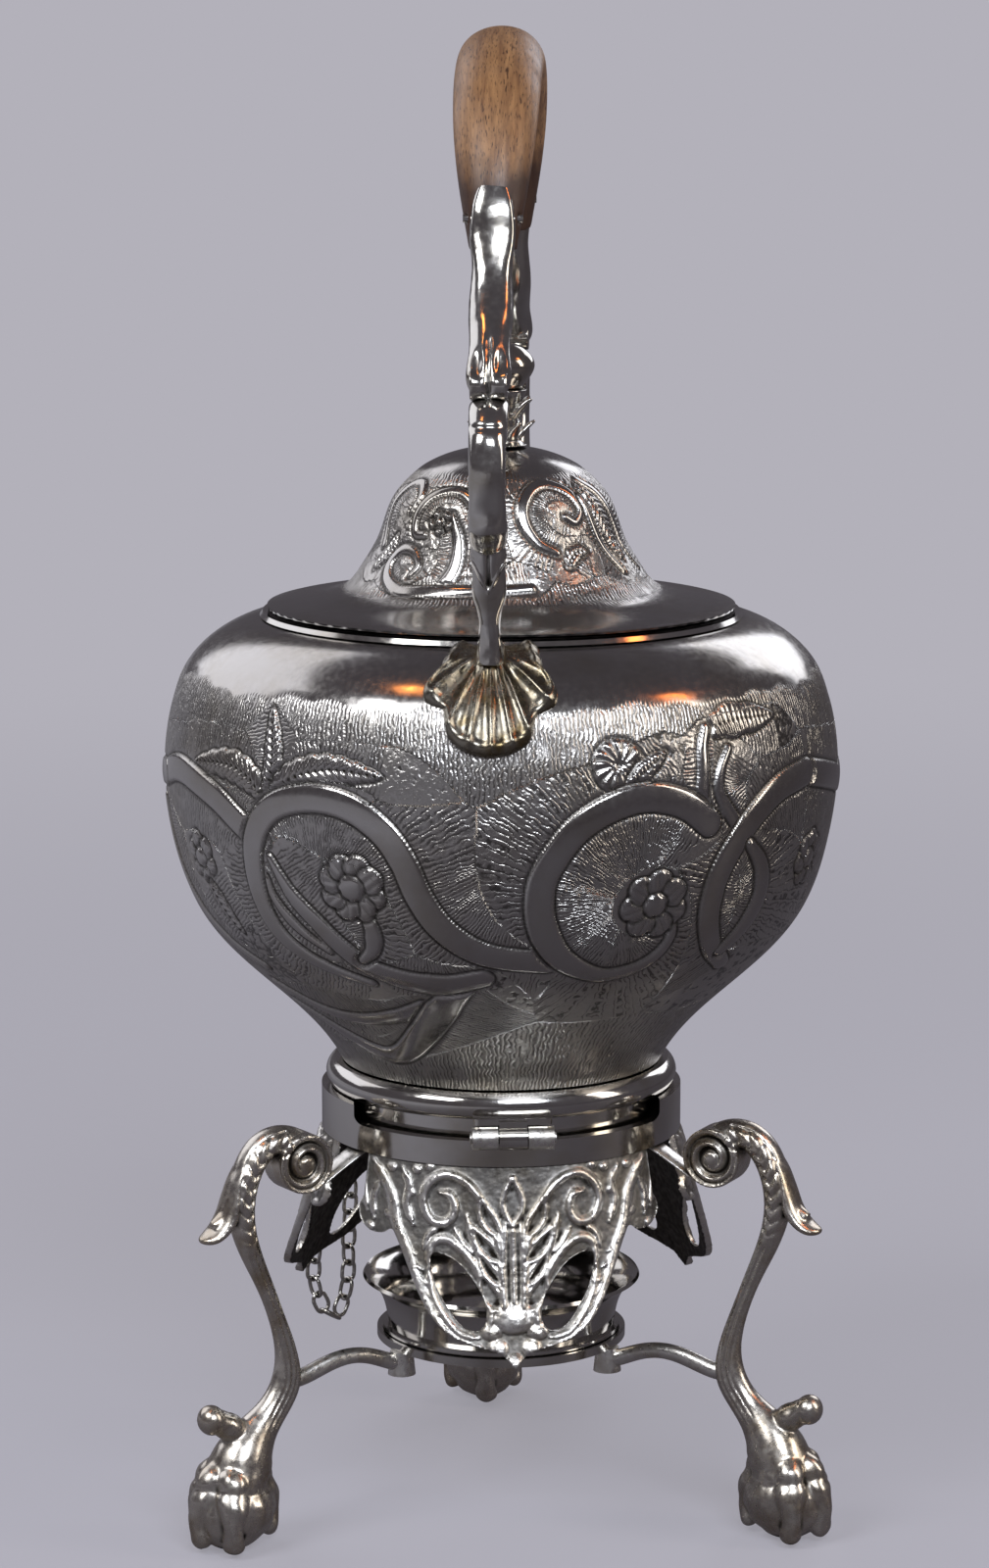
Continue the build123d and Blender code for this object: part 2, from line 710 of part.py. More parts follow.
def claws():
    """Four claws that hold the ball, each bent over it in its own upright plane."""
    toe = limb([
        (2.0, 19.5, 9.0, 8.0),
        (7.6, 17.0, 8.2, 7.4),
        (10.6, 12.6, 7.8, 6.6),
        (11.4, 8.8, 5.4, 4.8),
        (11.0, 5.6, 6.0, 5.0),
        (9.6, 1.6, 3.2, 2.8),
    ])
    return [Pos(foot_out - 1.0, 0, 0) * turned(toe, turn) for turn in (0, 58, 180, 302)]


def leg_strap():
    strap = limb([(46.8, 106.6, 7.5, 1.9), (52.6, 103.4, 7.2, 1.9), (59.5, 99.2, 6.6, 1.9)])
    scroll = Pos(scroll_out, 0, scroll_z) * Rot(90, 0, 0) * Cylinder(scroll_radius, scroll_width)
    return strap - scroll - tube(ring_radius + 1, ring_bottom_z, ring_top_z)


def strut():
    bar = limb([
        (70.0, 44.0, 4.4, 4.6),
        (63.0, 45.0, 4.4, 4.8),
        (54.0, 47.4, 4.2, 4.6),
        (46.0, 47.2, 4.2, 4.4),
        (38.5, 44.6, 4.4, 4.6),
        (33.0, 43.2, 5.0, 5.0),
    ])
    hoof = Pos(33.2, 0, 39.8) * Cone(3.9, 3.2, cradle_z - 39.8, align=(Align.CENTER, Align.CENTER, Align.MIN))
    return bar + hoof - leg()


def cradle_ring():
    return ring_of(cradle_radius, cradle_bore, cradle_z, cradle_z + cradle_height)


def keeper():
    bush = lying_tube(keeper_radius, ring_radius - 4, keeper_out) - lying_tube(
        lock_pin_radius + running_gap, ring_radius - 9, keeper_out + 5
    )
    return turned(Pos(0, 0, lock_z) * bush - tube(ring_radius, ring_bottom_z, ring_top_z), lock_turn)


def locking_pin():
    tip_out = ring_radius - ring_wall + 0.2
    loop_start = keeper_out + lock_travel + 0.4
    shank = lying_tube(lock_pin_radius, tip_out, loop_start + 0.8)
    outer = SlotOverall(loop_length, loop_height)
    inner = SlotOverall(loop_length - 2 * loop_wire, loop_height - 2 * loop_wire)
    loop = Pos(loop_start + loop_length / 2, 0, 0) * extrude(outer - inner, loop_wire / 2, both=True)
    return turned(Pos(0, 0, lock_z) * (shank + loop), lock_turn)


def chain_eye():
    loop = Rot(90, 0, 0) * extrude(Circle(3.4) - Circle(2.1), 0.7, both=True)
    eye = Pos(ring_radius + 3.0, 0, ring_bottom_z + 3.4) * loop
    return turned(eye - tube(ring_radius, ring_bottom_z - 5, ring_top_z + 5), chain_end_turn)


def chain_route():
    """The hanging chain's line: straight down from the pin's loop, then up outside the apron to the eye."""
    pitch = link_length - 2 * link_wire
    top_z = lock_z + loop_wire / 2 + link_gap
    route = [
        (chain_out, chain_turn, top_z),
        (chain_out, chain_turn, lock_z - 5 * pitch),
        (chain_out + 2.0, chain_turn - 0.6, 67.0),
        (chain_out + 2.3, chain_turn - 0.4, 56.0),
        (chain_out + 2.3, chain_turn + 0.6, 45.0),
        (65.0, (chain_turn + chain_end_turn) / 2 - 0.6, chain_low_z),
        (66.8, 139.6, 45.0),
        (67.6, 140.0, 58.0),
        (64.9, 140.2, 70.0),
        (60.4, 140.8, 86.0),
        (57.0, 141.2, 96.5),
        (chain_end_out, chain_end_turn, chain_end_z),
    ]
    points = [Vector(out * cos(radians(turn)), out * sin(radians(turn)), z) for out, turn, z in route]
    return Spline(*points, tangents=((0, 0, -1), points[-1] - points[-2]))


def chain():
    route = chain_route()
    pitch = link_length - 2 * link_wire
    count = round(route.length / pitch)
    link = extrude(
        SlotOverall(link_length, link_width) - SlotOverall(link_length - 2 * link_wire, link_width - 2 * link_wire),
        link_wire / 2,
        both=True,
    )
    links = []
    for i in range(count):
        reach = (i + 0.5) * route.length / count
        place = route.position_at(reach, position_mode=PositionMode.LENGTH)
        way = route.tangent_at(reach, position_mode=PositionMode.LENGTH)
        across = Vector(cos(radians(lock_turn)), sin(radians(lock_turn)), 0)
        flat = way.cross(across)
        if i % 2:
            normal = flat
        else:
            normal = flat.cross(way)
        links.append(Plane(origin=place, x_dir=way, z_dir=normal) * link)
    print("chain: links", count, "length", round(route.length, 1), "pitch", round(route.length / count, 2))
    return Compound(children=links)


# The burner
def burner_cup():
    outer = Polyline(
        (0, 0, cradle_z + 0.3),
        (30.6, 0, cradle_z + 0.3),
        (31.4, 0, cradle_z + 1.1),
        (31.4, 0, cradle_z + cradle_height + 0.3),
    )
    flare = Spline(
        (31.4, 0, cradle_z + cradle_height + 0.3),
        (32.6, 0, 54.6),
        (cup_rim_radius, 0, cup_rim_z),
        tangents=((0.35, 0, 1), (1, 0, 0.45)),
    )
    lip = Line((cup_rim_radius, 0, cup_rim_z), (cup_rim_radius - 0.5, 0, cup_rim_z + cup_wall))
    inner_flare = Spline(
        (cup_rim_radius - 0.5, 0, cup_rim_z + cup_wall),
        (31.6, 0, 54.8),
        (30.5, 0, cradle_z + 2.2),
        tangents=((-1, 0, -0.45), (-0.2, 0, -1)),
    )
    floor = Polyline((30.5, 0, cradle_z + 2.2), (30.0, 0, cradle_z + 1.2), (0, 0, cradle_z + 1.2), (0, 0, cradle_z + 0.3))
    cup = spun(make_face([outer, flare, lip, inner_flare, floor]))
    seat = ring_of(33.4, 31.2, cradle_z + cradle_height + 0.3, cradle_z + cradle_height + 1.3)
    return cup + seat


def burner_cover():
    section = Polyline(
        (3.1, 0, 56.2),
        (14.0, 0, 55.4),
        (30.9, 0, 51.6),
        (30.3, 0, 50.8),
        (13.8, 0, 54.5),
        (3.1, 0, 55.3),
        close=True,
    )
    return spun(make_face(section))


def wick_tube():
    return ring_of(3.1, 2.3, 49.0, 61.5) + ring_of(4.8, 3.1, 56.2, 57.2)


def wick():
    return tube(2.2, cradle_z + 1.5, 63.0)


def build():
    """Every piece by name, in the frame of the kettle's axis."""
    pieces = {}
    pieces["body_shell"] = body_shell()
    pieces["kettle_bottom"] = kettle_bottom()
    pieces["foot_flange"] = foot_flange()
    pieces["neck_ring"] = neck_ring()
    pieces["hinge_leaf"] = hinge_leaf()
    ends = {"near": -90 + handle_turn, "far": 90 + handle_turn}
    mount_shape = shell_mount_piece()
    scroll_shape = lower_scroll() - mount_shape - body_core()
    arm_shape = upper_arm() - lower_scroll()
    for end, turn in ends.items():
        pieces["shell_mount_" + end] = turned(mount_shape, turn)
        pieces["lower_scroll_" + end] = turned(scroll_shape, turn)
        pieces["upper_arm_" + end] = turned(arm_shape, turn)
    pieces["wood_grip"] = turned(wood_grip(), 90 + handle_turn)
    pieces["grip_pins"] = turned(grip_pins(), 90 + handle_turn)
    pieces["tap_flange"] = turned(tap_flange(), 90 + handle_turn) - body_core()
    pieces["tap_body"] = turned(tap_body(), 90 + handle_turn)
    pieces["tap_plug"] = turned(tap_plug(), 90 + handle_turn)
    pieces["tap_key"] = turned(tap_key(), 90 + handle_turn)
    pieces["tap_nut"] = turned(tap_nut(), 90 + handle_turn)
    pieces["lid_shell"] = lid_shell()
    pieces["lid_collar"] = lid_collar()
    pieces["finial_calyx"] = finial_calyx()
    pieces["finial_knob"] = finial_knob()
    pieces["finial_stud"] = finial_stud()
    pieces["finial_nut"] = finial_nut()
    pieces["stand_ring"] = stand_ring()
    pieces["hinge_barrels"] = hinge_barrels()
    pieces["hinge_pin"] = hinge_pin()
    apron_shape = apron()
    for name, turn in zip(("front", "right", "left"), apron_turns):
        pieces["apron_" + name] = turned(apron_shape, turn + 90)
    leg_shape = leg()
    strap_shape = leg_strap()
    strut_shape = strut()
    for name, turn in zip(("left", "right", "rear"), leg_turns):
        pieces["leg_" + name] = turned(leg_shape, turn)
        pieces["leg_strap_" + name] = turned(strap_shape, turn)
        pieces["strut_" + name] = turned(strut_shape, turn)
    pieces["cradle_ring"] = cradle_ring()
    pieces["pin_keeper"] = keeper()
    pieces["chain_eye"] = chain_eye()
    pieces["chain"] = chain()
    pieces["locking_pin"] = locking_pin()
    pieces["burner_cup"] = burner_cup()
    pieces["burner_cover"] = burner_cover()
    pieces["wick_tube"] = wick_tube()
    pieces["wick"] = wick()
    return pieces


def main():
    pieces = build()
    boxes = [shape.bounding_box() for shape in pieces.values()]
    middle_x = (min(box.min.X for box in boxes) + max(box.max.X for box in boxes)) / 2
    middle_y = (min(box.min.Y for box in boxes) + max(box.max.Y for box in boxes)) / 2
    floor_z = min(box.min.Z for box in boxes)
    print("axis of the kettle in the part's frame:", round(-middle_x, 4), round(-middle_y, 4), round(-floor_z, 4))
    os.makedirs("parts", exist_ok=True)
    for name, shape in pieces.items():
        export_step(shape.moved(Location((-middle_x, -middle_y, -floor_z))), "parts/" + name + ".step")


main()
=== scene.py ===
# %% [markdown]
# # A silver kettle urn on a stand
#
# The object is a domed kettle with an arched wooden grip. It tips on a hinge at the edge of a
# three-legged stand, and a spirit burner stands in a ring between the legs. Everything but the grip
# and the wick is silver plate, so the lesson is about two things: how chased and cast metal gets its
# relief, and how plate gets its colour from what it mirrors and from the tarnish in its hollows.

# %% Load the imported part
import json
from math import atan, cos, hypot, pi, radians, sin

import bmesh
import bpy
import numpy as np
from mathutils import Matrix, Vector, noise


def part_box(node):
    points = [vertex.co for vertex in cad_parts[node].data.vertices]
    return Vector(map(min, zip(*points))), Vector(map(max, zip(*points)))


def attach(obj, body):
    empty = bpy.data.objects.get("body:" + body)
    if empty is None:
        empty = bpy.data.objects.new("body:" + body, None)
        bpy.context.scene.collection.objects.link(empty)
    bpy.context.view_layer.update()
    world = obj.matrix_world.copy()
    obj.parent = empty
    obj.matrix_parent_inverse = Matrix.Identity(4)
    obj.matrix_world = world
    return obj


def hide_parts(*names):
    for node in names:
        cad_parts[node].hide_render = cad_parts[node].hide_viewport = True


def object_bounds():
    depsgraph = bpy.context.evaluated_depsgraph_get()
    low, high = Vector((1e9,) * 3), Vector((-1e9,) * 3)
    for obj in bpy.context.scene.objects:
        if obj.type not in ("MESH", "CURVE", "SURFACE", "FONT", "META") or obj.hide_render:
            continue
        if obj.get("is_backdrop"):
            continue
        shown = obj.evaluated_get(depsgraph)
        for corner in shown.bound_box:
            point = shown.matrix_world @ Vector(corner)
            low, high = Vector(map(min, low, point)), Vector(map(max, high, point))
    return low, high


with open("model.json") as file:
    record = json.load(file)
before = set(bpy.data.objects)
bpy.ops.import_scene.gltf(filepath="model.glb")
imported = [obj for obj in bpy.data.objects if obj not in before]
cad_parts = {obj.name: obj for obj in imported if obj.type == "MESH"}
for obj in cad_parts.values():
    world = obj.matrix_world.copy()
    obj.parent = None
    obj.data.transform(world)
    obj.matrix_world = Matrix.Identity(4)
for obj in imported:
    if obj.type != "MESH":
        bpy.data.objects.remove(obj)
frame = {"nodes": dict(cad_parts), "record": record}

cad_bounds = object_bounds()
mm = 0.001
print("the part's box:", [[round(float(v), 4) for v in corner] for corner in cad_bounds])

# %% [markdown]
# ## Where things are
#
# The kettle is turned about one upright axis, which is the middle of its round bottom. Angles on
# the kettle are measured as the photograph shows them: 0 faces the camera and positive is to the
# right. Heights and radii are in millimetres until a mesh is made.

# %% The kettle's axis and the photograph's direction
low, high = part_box("kettle_bottom")
axis_x = (low[0] + high[0]) / 2
axis_y = (low[1] + high[1]) / 2
camera_turn = -93.4
handle_turn = -95.6


def upright(radius, picture_angle, height):
    """A point by its radius and height in mm and its angle in the picture, in the part's frame."""
    turn = np.radians(camera_turn + picture_angle)
    return (
        axis_x + radius * mm * np.cos(turn),
        axis_y + radius * mm * np.sin(turn),
        height * mm,
    )


def points_at(radius, picture_angle, height):
    """The same for arrays, as one array of points."""
    return np.stack(np.broadcast_arrays(*upright(radius, picture_angle, height)), axis=-1)


print("axis of the kettle:", round(axis_x, 5), round(axis_y, 5))

# %% [markdown]
# ## The camera
#
# The photograph was taken with a long lens from just above the lid's height, looking a little down,
# so the horizon lies at the very top of the frame. The numbers come from fitting the edges of the
# kettle, the ring and the feet. The axis stands seven pixels right of the middle of the frame.

# %% Set up the camera
photo_height_px = 1600
focal_px = 4600
camera_distance = 1.230
camera_height = 0.4183
camera_pitch = 9.9
axis_right_px = 7
sensor = 36


def placed(name, data):
    """An object in the scene for a camera, a lamp or a mesh."""
    item = bpy.data.objects.new(name, data)
    bpy.context.collection.objects.link(item)
    return item


lens = bpy.data.cameras.new("photo_camera")
lens.sensor_width = sensor
lens.lens = focal_px * sensor / photo_height_px
lens.clip_end = 500
camera = placed("photo_camera", lens)
camera.location = (
    axis_x + camera_distance * cos(radians(camera_turn)),
    axis_y + camera_distance * sin(radians(camera_turn)),
    camera_height,
)
look_turn = radians(camera_turn + 90) + atan(axis_right_px / focal_px)
camera.rotation_euler = (radians(90 - camera_pitch), 0, look_turn)
bpy.context.scene.camera = camera
bpy.context.scene.view_settings.view_transform = "Standard"
print("lens", round(lens.lens, 1), "mm")

# %% [markdown]
# ## Building materials from nodes
#
# Colours are written as the sRGB hex values that a colour picker gives, and one function turns them
# to the linear values that shaders use. Another adds a node, with its settings and its links. The
# others add the nodes that come up again and again, so that each material reads as a list of what
# is laid over what.

# %% Helpers for materials
def colour(code):
    """An sRGB hex value as the linear colour that a shader takes."""
    linear = []
    for start in (0, 2, 4):
        part = int(code[start:start + 2], 16) / 255
        linear.append(part / 12.92 if part <= 0.04045 else ((part + 0.055) / 1.055) ** 2.4)
    return (*linear, 1.0)


def add(tree, kind, inputs=(), **settings):
    """Adds a node and gives each named input a value or another node's output."""
    node = tree.nodes.new("ShaderNode" + kind)
    for name, value in settings.items():
        setattr(node, name, value)
    for name, value in dict(inputs).items():
        if isinstance(value, bpy.types.NodeSocket):
            tree.links.new(value, node.inputs[name])
        else:
            node.inputs[name].default_value = value
    return node


def new_material(name):
    """An empty node material and its tree of nodes."""
    material = bpy.data.materials.new(name)
    material.use_nodes = True
    material.node_tree.nodes.clear()
    return material, material.node_tree


def object_place(tree):
    """Where a point of the surface lies, in metres."""
    return add(tree, "TexCoord").outputs["Object"]


def stored(tree, name, output="Fac"):
    """A value that the mesh keeps for its points."""
    return add(tree, "Attribute", attribute_name=name).outputs[output]


def worked(tree, operation, *values):
    """The result of one sum."""
    return add(tree, "Math", dict(enumerate(values)), operation=operation).outputs[0]


def ranged(tree, value, low, high, to_low=0.0, to_high=1.0, **settings):
    """A value taken from one range to another, and held at its ends."""
    ends = {"Value": value, "From Min": low, "From Max": high, "To Min": to_low, "To Max": to_high}
    return add(tree, "MapRange", ends, **settings).outputs["Result"]


def mixed(tree, part, first, second):
    """A colour between two others."""
    return add(tree, "Mix", {0: part, 6: first, 7: second}, data_type="RGBA").outputs[2]


def noisy(tree, place, scale, detail=2.0, **more):
    """Random patches, so many to a metre."""
    inputs = {"Vector": place, "Scale": scale, "Detail": detail, **more}
    return add(tree, "TexNoise", inputs).outputs["Fac"]


def bumped(tree, height, height_mm, strength=1.0, **under):
    """A normal that leans as if the surface rose and fell by a height."""
    inputs = {"Height": height, "Strength": strength, "Distance": height_mm * mm, **under}
    return add(tree, "Bump", inputs).outputs["Normal"]


def openness(tree, reach_mm):
    """1 where a point's surroundings are open, and less in a corner."""
    return add(tree, "AmbientOcclusion", {"Distance": reach_mm * mm}, samples=6).outputs["AO"]


def shaded(tree, tint, roughness, normal, **more):
    """Ends a material with its shader and its output."""
    inputs = {"Base Color": tint, "Roughness": roughness, "Normal": normal, **more}
    add(tree, "OutputMaterial", {"Surface": add(tree, "BsdfPrincipled", inputs).outputs[0]})


# %% [markdown]
# ## The floor and the light
#
# A bright metal has hardly any colour of its own: it shows the room. A plain studio gives it a
# floor, which is pale to the eye and gives the metal a painted reflection: darker than it looks, and
# paler towards the left for a painted highlight; a large soft box high on the left, a smaller one high
# in front for the belly's highlight, and a dim room behind the camera for the dark bands that make a
# polished shoulder look like metal. The floor fades to the colour of the background a little way off,
# so that no horizon shows from the side.

# %% Lay the floor and light the scene
backdrop = colour("b3b1ba")
painted_floor_reflection = colour("524e54")
paler_painted_floor_reflection = colour("94939b")
room = colour("474449")
floor_radius = 60
floor_drop = 0.0002
aim_height = 0.2


def make_floor():
    """A painted floor that turns to the backdrop's colour with distance, and has a painted reflection in
    mirrors.
    """
    material, tree = new_material("painted_floor")
    place = object_place(tree)
    away = add(tree, "VectorMath", {0: place}, operation="LENGTH").outputs["Value"]
    fade = ranged(tree, away, 0.5, 1.6, 0.6, interpolation_type="SMOOTHSTEP")
    sideways = add(tree, "SeparateXYZ", {"Vector": place}).outputs["X"]
    # Painted reflection: glossy rays see the floor darker, and paler towards the left for a painted
    # highlight.
    mirrored = mixed(tree, ranged(tree, sideways, -0.05, -0.5), painted_floor_reflection, paler_painted_floor_reflection)
    tint = mixed(tree, add(tree, "LightPath").outputs["Is Glossy Ray"], backdrop, mirrored)
    bump = bumped(tree, noisy(tree, place, 220.0), 0.1, 0.2)
    paint = add(tree, "BsdfPrincipled", {"Base Color": tint, "Roughness": 0.6, "Normal": bump})
    glow = add(tree, "Emission", {"Color": tint, "Strength": 1.0})
    both = add(tree, "MixShader", {0: fade, 1: paint.outputs[0], 2: glow.outputs[0]})
    add(tree, "OutputMaterial", {"Surface": both.outputs[0]})
    bpy.ops.object.select_all(action="DESELECT")
    bpy.ops.mesh.primitive_circle_add(
        vertices=96, radius=floor_radius, fill_type="NGON", location=(0, 0, -floor_drop)
    )
    floor = bpy.context.active_object
    floor.name = "floor"
    floor.data.materials.append(material)
    floor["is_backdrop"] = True


def light_room():
    """A dim room in every mirror, and the backdrop's colour behind the object."""
    world = bpy.data.worlds.new("room")
    bpy.context.scene.world = world
    world.use_nodes = True
    tree = world.node_tree
    tree.nodes.clear()
    path = add(tree, "LightPath").outputs
    seen = worked(tree, "MAXIMUM", path["Is Camera Ray"], path["Is Transmission Ray"])
    dim = add(tree, "Background", {"Color": room, "Strength": 1.5})
    pale = add(tree, "Background", {"Color": backdrop, "Strength": 1.0})
    both = add(tree, "MixShader", {0: seen, 1: dim.outputs[0], 2: pale.outputs[0]})
    add(tree, "OutputWorld", {"Surface": both.outputs[0]})


def soft_box(name, place, width, height, watts, tint, glint=False):
    """An area lamp that faces the middle of the kettle. A glint shows in mirrors and lights no floor."""
    lamp = bpy.data.lights.new(name, "AREA")
    lamp.shape = "RECTANGLE"
    lamp.size = width
    lamp.size_y = height
    lamp.energy = watts
    lamp.color = colour(tint)[:3]
    holder = placed(name, lamp)
    holder.location = place
    aim = Vector((axis_x, axis_y, aim_height)) - Vector(place)
    holder.rotation_euler = aim.to_track_quat("-Z", "Y").to_euler()
    holder.visible_diffuse = not glint


make_floor()
light_room()
soft_box("key_box", (-1.1, -0.9, 1.5), 0.8, 0.8, 19, "f8faff")
soft_box("side_box", (1.5, -0.5, 0.9), 0.4, 1.1, 7, "fff6ec")
soft_box("left_back_box", (-1.2, 1.1, 1.2), 1.7, 1.4, 10, "f6f7ff")
soft_box("right_back_box", (1.0, 1.5, 1.0), 0.9, 0.9, 6, "f4f6ff")
soft_box("front_box", (0.34, -1.6, 1.35), 0.9, 0.6, 24, "eef4ff")
soft_box("warm_right", (1.15, -0.25, 1.45), 0.2, 0.22, 0.9, "ff8a3d", glint=True)
soft_box("warm_left", (-0.55, -0.15, 1.75), 0.12, 0.14, 0.6, "ff9a4a", glint=True)
print("floor, room and seven lamps")

# %% [markdown]
# ## Silver plate
#
# Silver plate is a thin coat of nearly white metal on a copper alloy. Old plate is never even: a
# yellow-brown tarnish stays where a cloth doesn't reach, the chaser's grooves hold black, and the
# high places are worn bright. So one recipe has a clean colour, clouds of tarnish, a dark that
# follows an attribute called hollow, and a faint waviness from the raising hammer, which is what
# bends the reflections. Chased work adds short punched strokes that run square to the drawn line,
# from an attribute that measures millimetres along it.

# %% The silver finishes
rub_mm = 1.6
pit_mm = 0.9
break_mm = 3.0
stroke_mm = 1.15
stroke_height_mm = 0.075


def silver(
    name, clean, tarnish, roughness, cloud_mm, wave_mm, wave_height,
    cloudy=0.5, crevice_mm=0.0, strokes=False, pitted=0.0, dirt="28231e",
):
    """Plate with clouds of tarnish, dark hollows and faint waves, and with pits or strokes if asked."""
    material, tree = new_material(name)
    place = object_place(tree)
    hollow = stored(tree, "hollow")
    if crevice_mm:
        hollow = worked(tree, "MAXIMUM", hollow, ranged(tree, openness(tree, crevice_mm), 0.75, 0.3))
    clouds = noisy(tree, place, 1 / (cloud_mm * mm), 6.0, Roughness=0.6)
    stain = ranged(tree, clouds, 0.42, 0.72, 0.0, cloudy, interpolation_type="SMOOTHSTEP")
    tint = mixed(tree, stain, colour(clean), colour(tarnish))
    rub = noisy(tree, place, 1 / (rub_mm * mm), 4.0)
    # The hollow attribute holds tarnish, and on the aprons' inner faces painted shade.
    uneven = worked(tree, "MULTIPLY_ADD", worked(tree, "SUBTRACT", rub, 0.5), 0.3, hollow)
    dark = ranged(tree, uneven, 0.14, 0.95, interpolation_type="SMOOTHSTEP")
    tint = mixed(tree, dark, tint, colour(dirt))
    matt = ranged(tree, rub, 0.3, 0.7, roughness * 0.75, roughness * 1.35)
    matt = add(tree, "Mix", {0: dark, 2: matt, 3: 0.62}, data_type="FLOAT").outputs[0]
    normal = bumped(tree, noisy(tree, place, 1 / (wave_mm * mm)), wave_height)
    if pitted:
        normal = bumped(tree, noisy(tree, place, 1 / (pit_mm * mm), 5.0), pitted, Normal=normal)
    if strokes:
        matted = stored(tree, "matted")
        broken = noisy(tree, place, 1 / (break_mm * mm), 3.0)
        phase = worked(tree, "MULTIPLY_ADD", broken, 2.6, stored(tree, "stroke"))
        teeth = worked(tree, "SINE", worked(tree, "MULTIPLY", phase, 2 * pi / stroke_mm))
        gaps = ranged(tree, broken, 0.34, 0.5, 0.35)
        cut = worked(tree, "MULTIPLY", worked(tree, "MULTIPLY", teeth, matted), gaps)
        normal = bumped(tree, cut, stroke_height_mm, Normal=normal)
        tint = mixed(tree, ranged(tree, cut, -0.35, -0.95, 0.0, 0.7), tint, colour(dirt))
        matt = add(tree, "Mix", {0: matted, 2: matt, 3: 0.3}, data_type="FLOAT").outputs[0]
    shaded(tree, tint, matt, normal, Metallic=1.0)
    return material


polished_plate = silver("polished_silver_plate", "c3c0bb", "a1957a", 0.12, 26, 14, 0.10, cloudy=0.45)
chased_plate = silver("chased_silver_plate", "b4b1ad", "938871", 0.17, 30, 9, 0.06, cloudy=0.4, strokes=True)
cast_plate = silver("cast_silver_plate", "dedbd5", "a39476", 0.31, 9, 3.2, 0.10, crevice_mm=2.6, pitted=0.09)
leg_plate = silver("tarnished_silver_plate", "d0cac0", "9a8258", 0.26, 11, 5, 0.10,
                   cloudy=0.6, crevice_mm=3.0, pitted=0.02)
worn_plate = silver("worn_silver_plate", "c4c1bb", "9c8f72", 0.15, 14, 6, 0.08,
                    cloudy=0.4, crevice_mm=2.0, pitted=0.01)
mount_plate = silver("yellowed_silver_plate", "8f8a7e", "6c5a34", 0.25, 7, 4, 0.10,
                     cloudy=0.9, crevice_mm=1.5, pitted=0.03, dirt="5b4720")
print("six silver finishes")

# %% [markdown]
# ## Wood and cotton
#
# The grip is stained fruitwood, dark where the silver sockets and hands have stained it, and given
# painted shade where it faces down. Its grain runs along the arch, so the pattern reads an attribute
# that keeps each point's place along it. The wick is plaited cotton, charred at its top.

# %% The wood and the wick's cotton
def fruitwood():
    """Wood with long grain and pores, stained in patches and at its ends, with painted shade underneath."""
    material, tree = new_material("stained_fruitwood")
    run = stored(tree, "grain", "Vector")
    long_way = add(tree, "Mapping", {"Vector": run, "Scale": (1.0, 9.0, 9.0)}).outputs["Vector"]
    grain = noisy(tree, long_way, 60.0, 7.0, Roughness=0.65, Distortion=0.6)
    tint = mixed(tree, ranged(tree, grain, 0.3, 0.7), colour("9c744d"), colour("66452c"))
    pores = add(tree, "Mapping", {"Vector": run, "Scale": (1.0, 6.0, 6.0)}).outputs["Vector"]
    tint = mixed(tree, ranged(tree, noisy(tree, pores, 420.0), 0.57, 0.68), tint, colour("3c2517"))
    patch = noisy(tree, object_place(tree), 1 / (7 * mm), 5.0)
    joint = ranged(tree, openness(tree, 4), 0.95, 0.6, 0.0, 0.8)
    # The stored stain is the real stain at the grip's ends plus painted shade where it faces down.
    stain = worked(tree, "ADD", stored(tree, "stain"), joint)
    dirt = worked(tree, "MULTIPLY_ADD", patch, 0.8, stain)
    tint = mixed(tree, ranged(tree, dirt, 0.45, 1.05, 0.0, 0.9), tint, colour("33211a"))
    sheen = ranged(tree, patch, 0.3, 0.7, 0.36, 0.55)
    shaded(tree, tint, sheen, bumped(tree, grain, 0.15, 0.6), IOR=1.5)
    return material


def cotton():
    """Plaited cotton, charred above a height."""
    material, tree = new_material("plaited_cotton")
    place = object_place(tree)
    plait = add(tree, "TexWave", {"Vector": place, "Scale": 1 / (2.4 * mm), "Distortion": 2.0},
                bands_direction="DIAGONAL").outputs["Fac"]
    height = add(tree, "SeparateXYZ", {"Vector": place}).outputs["Z"]
    tint = mixed(tree, plait, colour("a89f8c"), colour("d8d0bd"))
    tint = mixed(tree, ranged(tree, height, 61.2 * mm, 62.6 * mm), tint, colour("241d18"))
    shaded(tree, tint, 0.9, bumped(tree, plait, 0.3))
    return material


stained_wood = fruitwood()
wick_cotton = cotton()
print("wood and cotton")

# %% [markdown]
# ## Tools for the pieces
#
# A finished piece gets its material, the body it rides on and the nodes that it stands for. A few
# profiles come back in every shape: a soft step, a soft hump and a round back. A turned node gives
# its outline, which is read from its points on one side of the axis.

# %% Helpers for the pieces
merge_mm = 0.002
station_gap = 1.4


def settle(piece, body, slot, material, *replaced):
    """Gives a finished piece its finish, the body it rides on and the nodes that it stands for."""
    piece.data.materials.clear()
    piece.data.materials.append(material)
    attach(piece, body)
    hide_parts(*replaced)
    triangles = sum(len(face.vertices) - 2 for face in piece.data.polygons)
    print(piece.name, "has", triangles, "triangles")


def new_piece(name, points, faces):
    """A mesh object from points in metres."""
    mesh = bpy.data.meshes.new(name)
    mesh.from_pydata(points, [], faces)
    mesh.update()
    return placed(name, mesh)


def pick(*pieces):
    """Selects these pieces and no others, and makes the first one active."""
    bpy.ops.object.select_all(action="DESELECT")
    for piece in pieces:
        piece.select_set(True)
    bpy.context.view_layer.objects.active = pieces[0]


def points_of(piece):
    """A mesh's points and normals as arrays, in metres."""
    arrays = []
    for field in ("co", "normal"):
        values = np.empty(len(piece.data.vertices) * 3)
        piece.data.vertices.foreach_get(field, values)
        arrays.append(values.reshape(-1, 3))
    return arrays


def store(mesh, name, values):
    """Keeps one number for each point of a mesh, for its material to read."""
    kept = mesh.attributes.new(name, "FLOAT", "POINT")
    kept.data.foreach_set("value", np.asarray(values, dtype=np.float32).ravel())


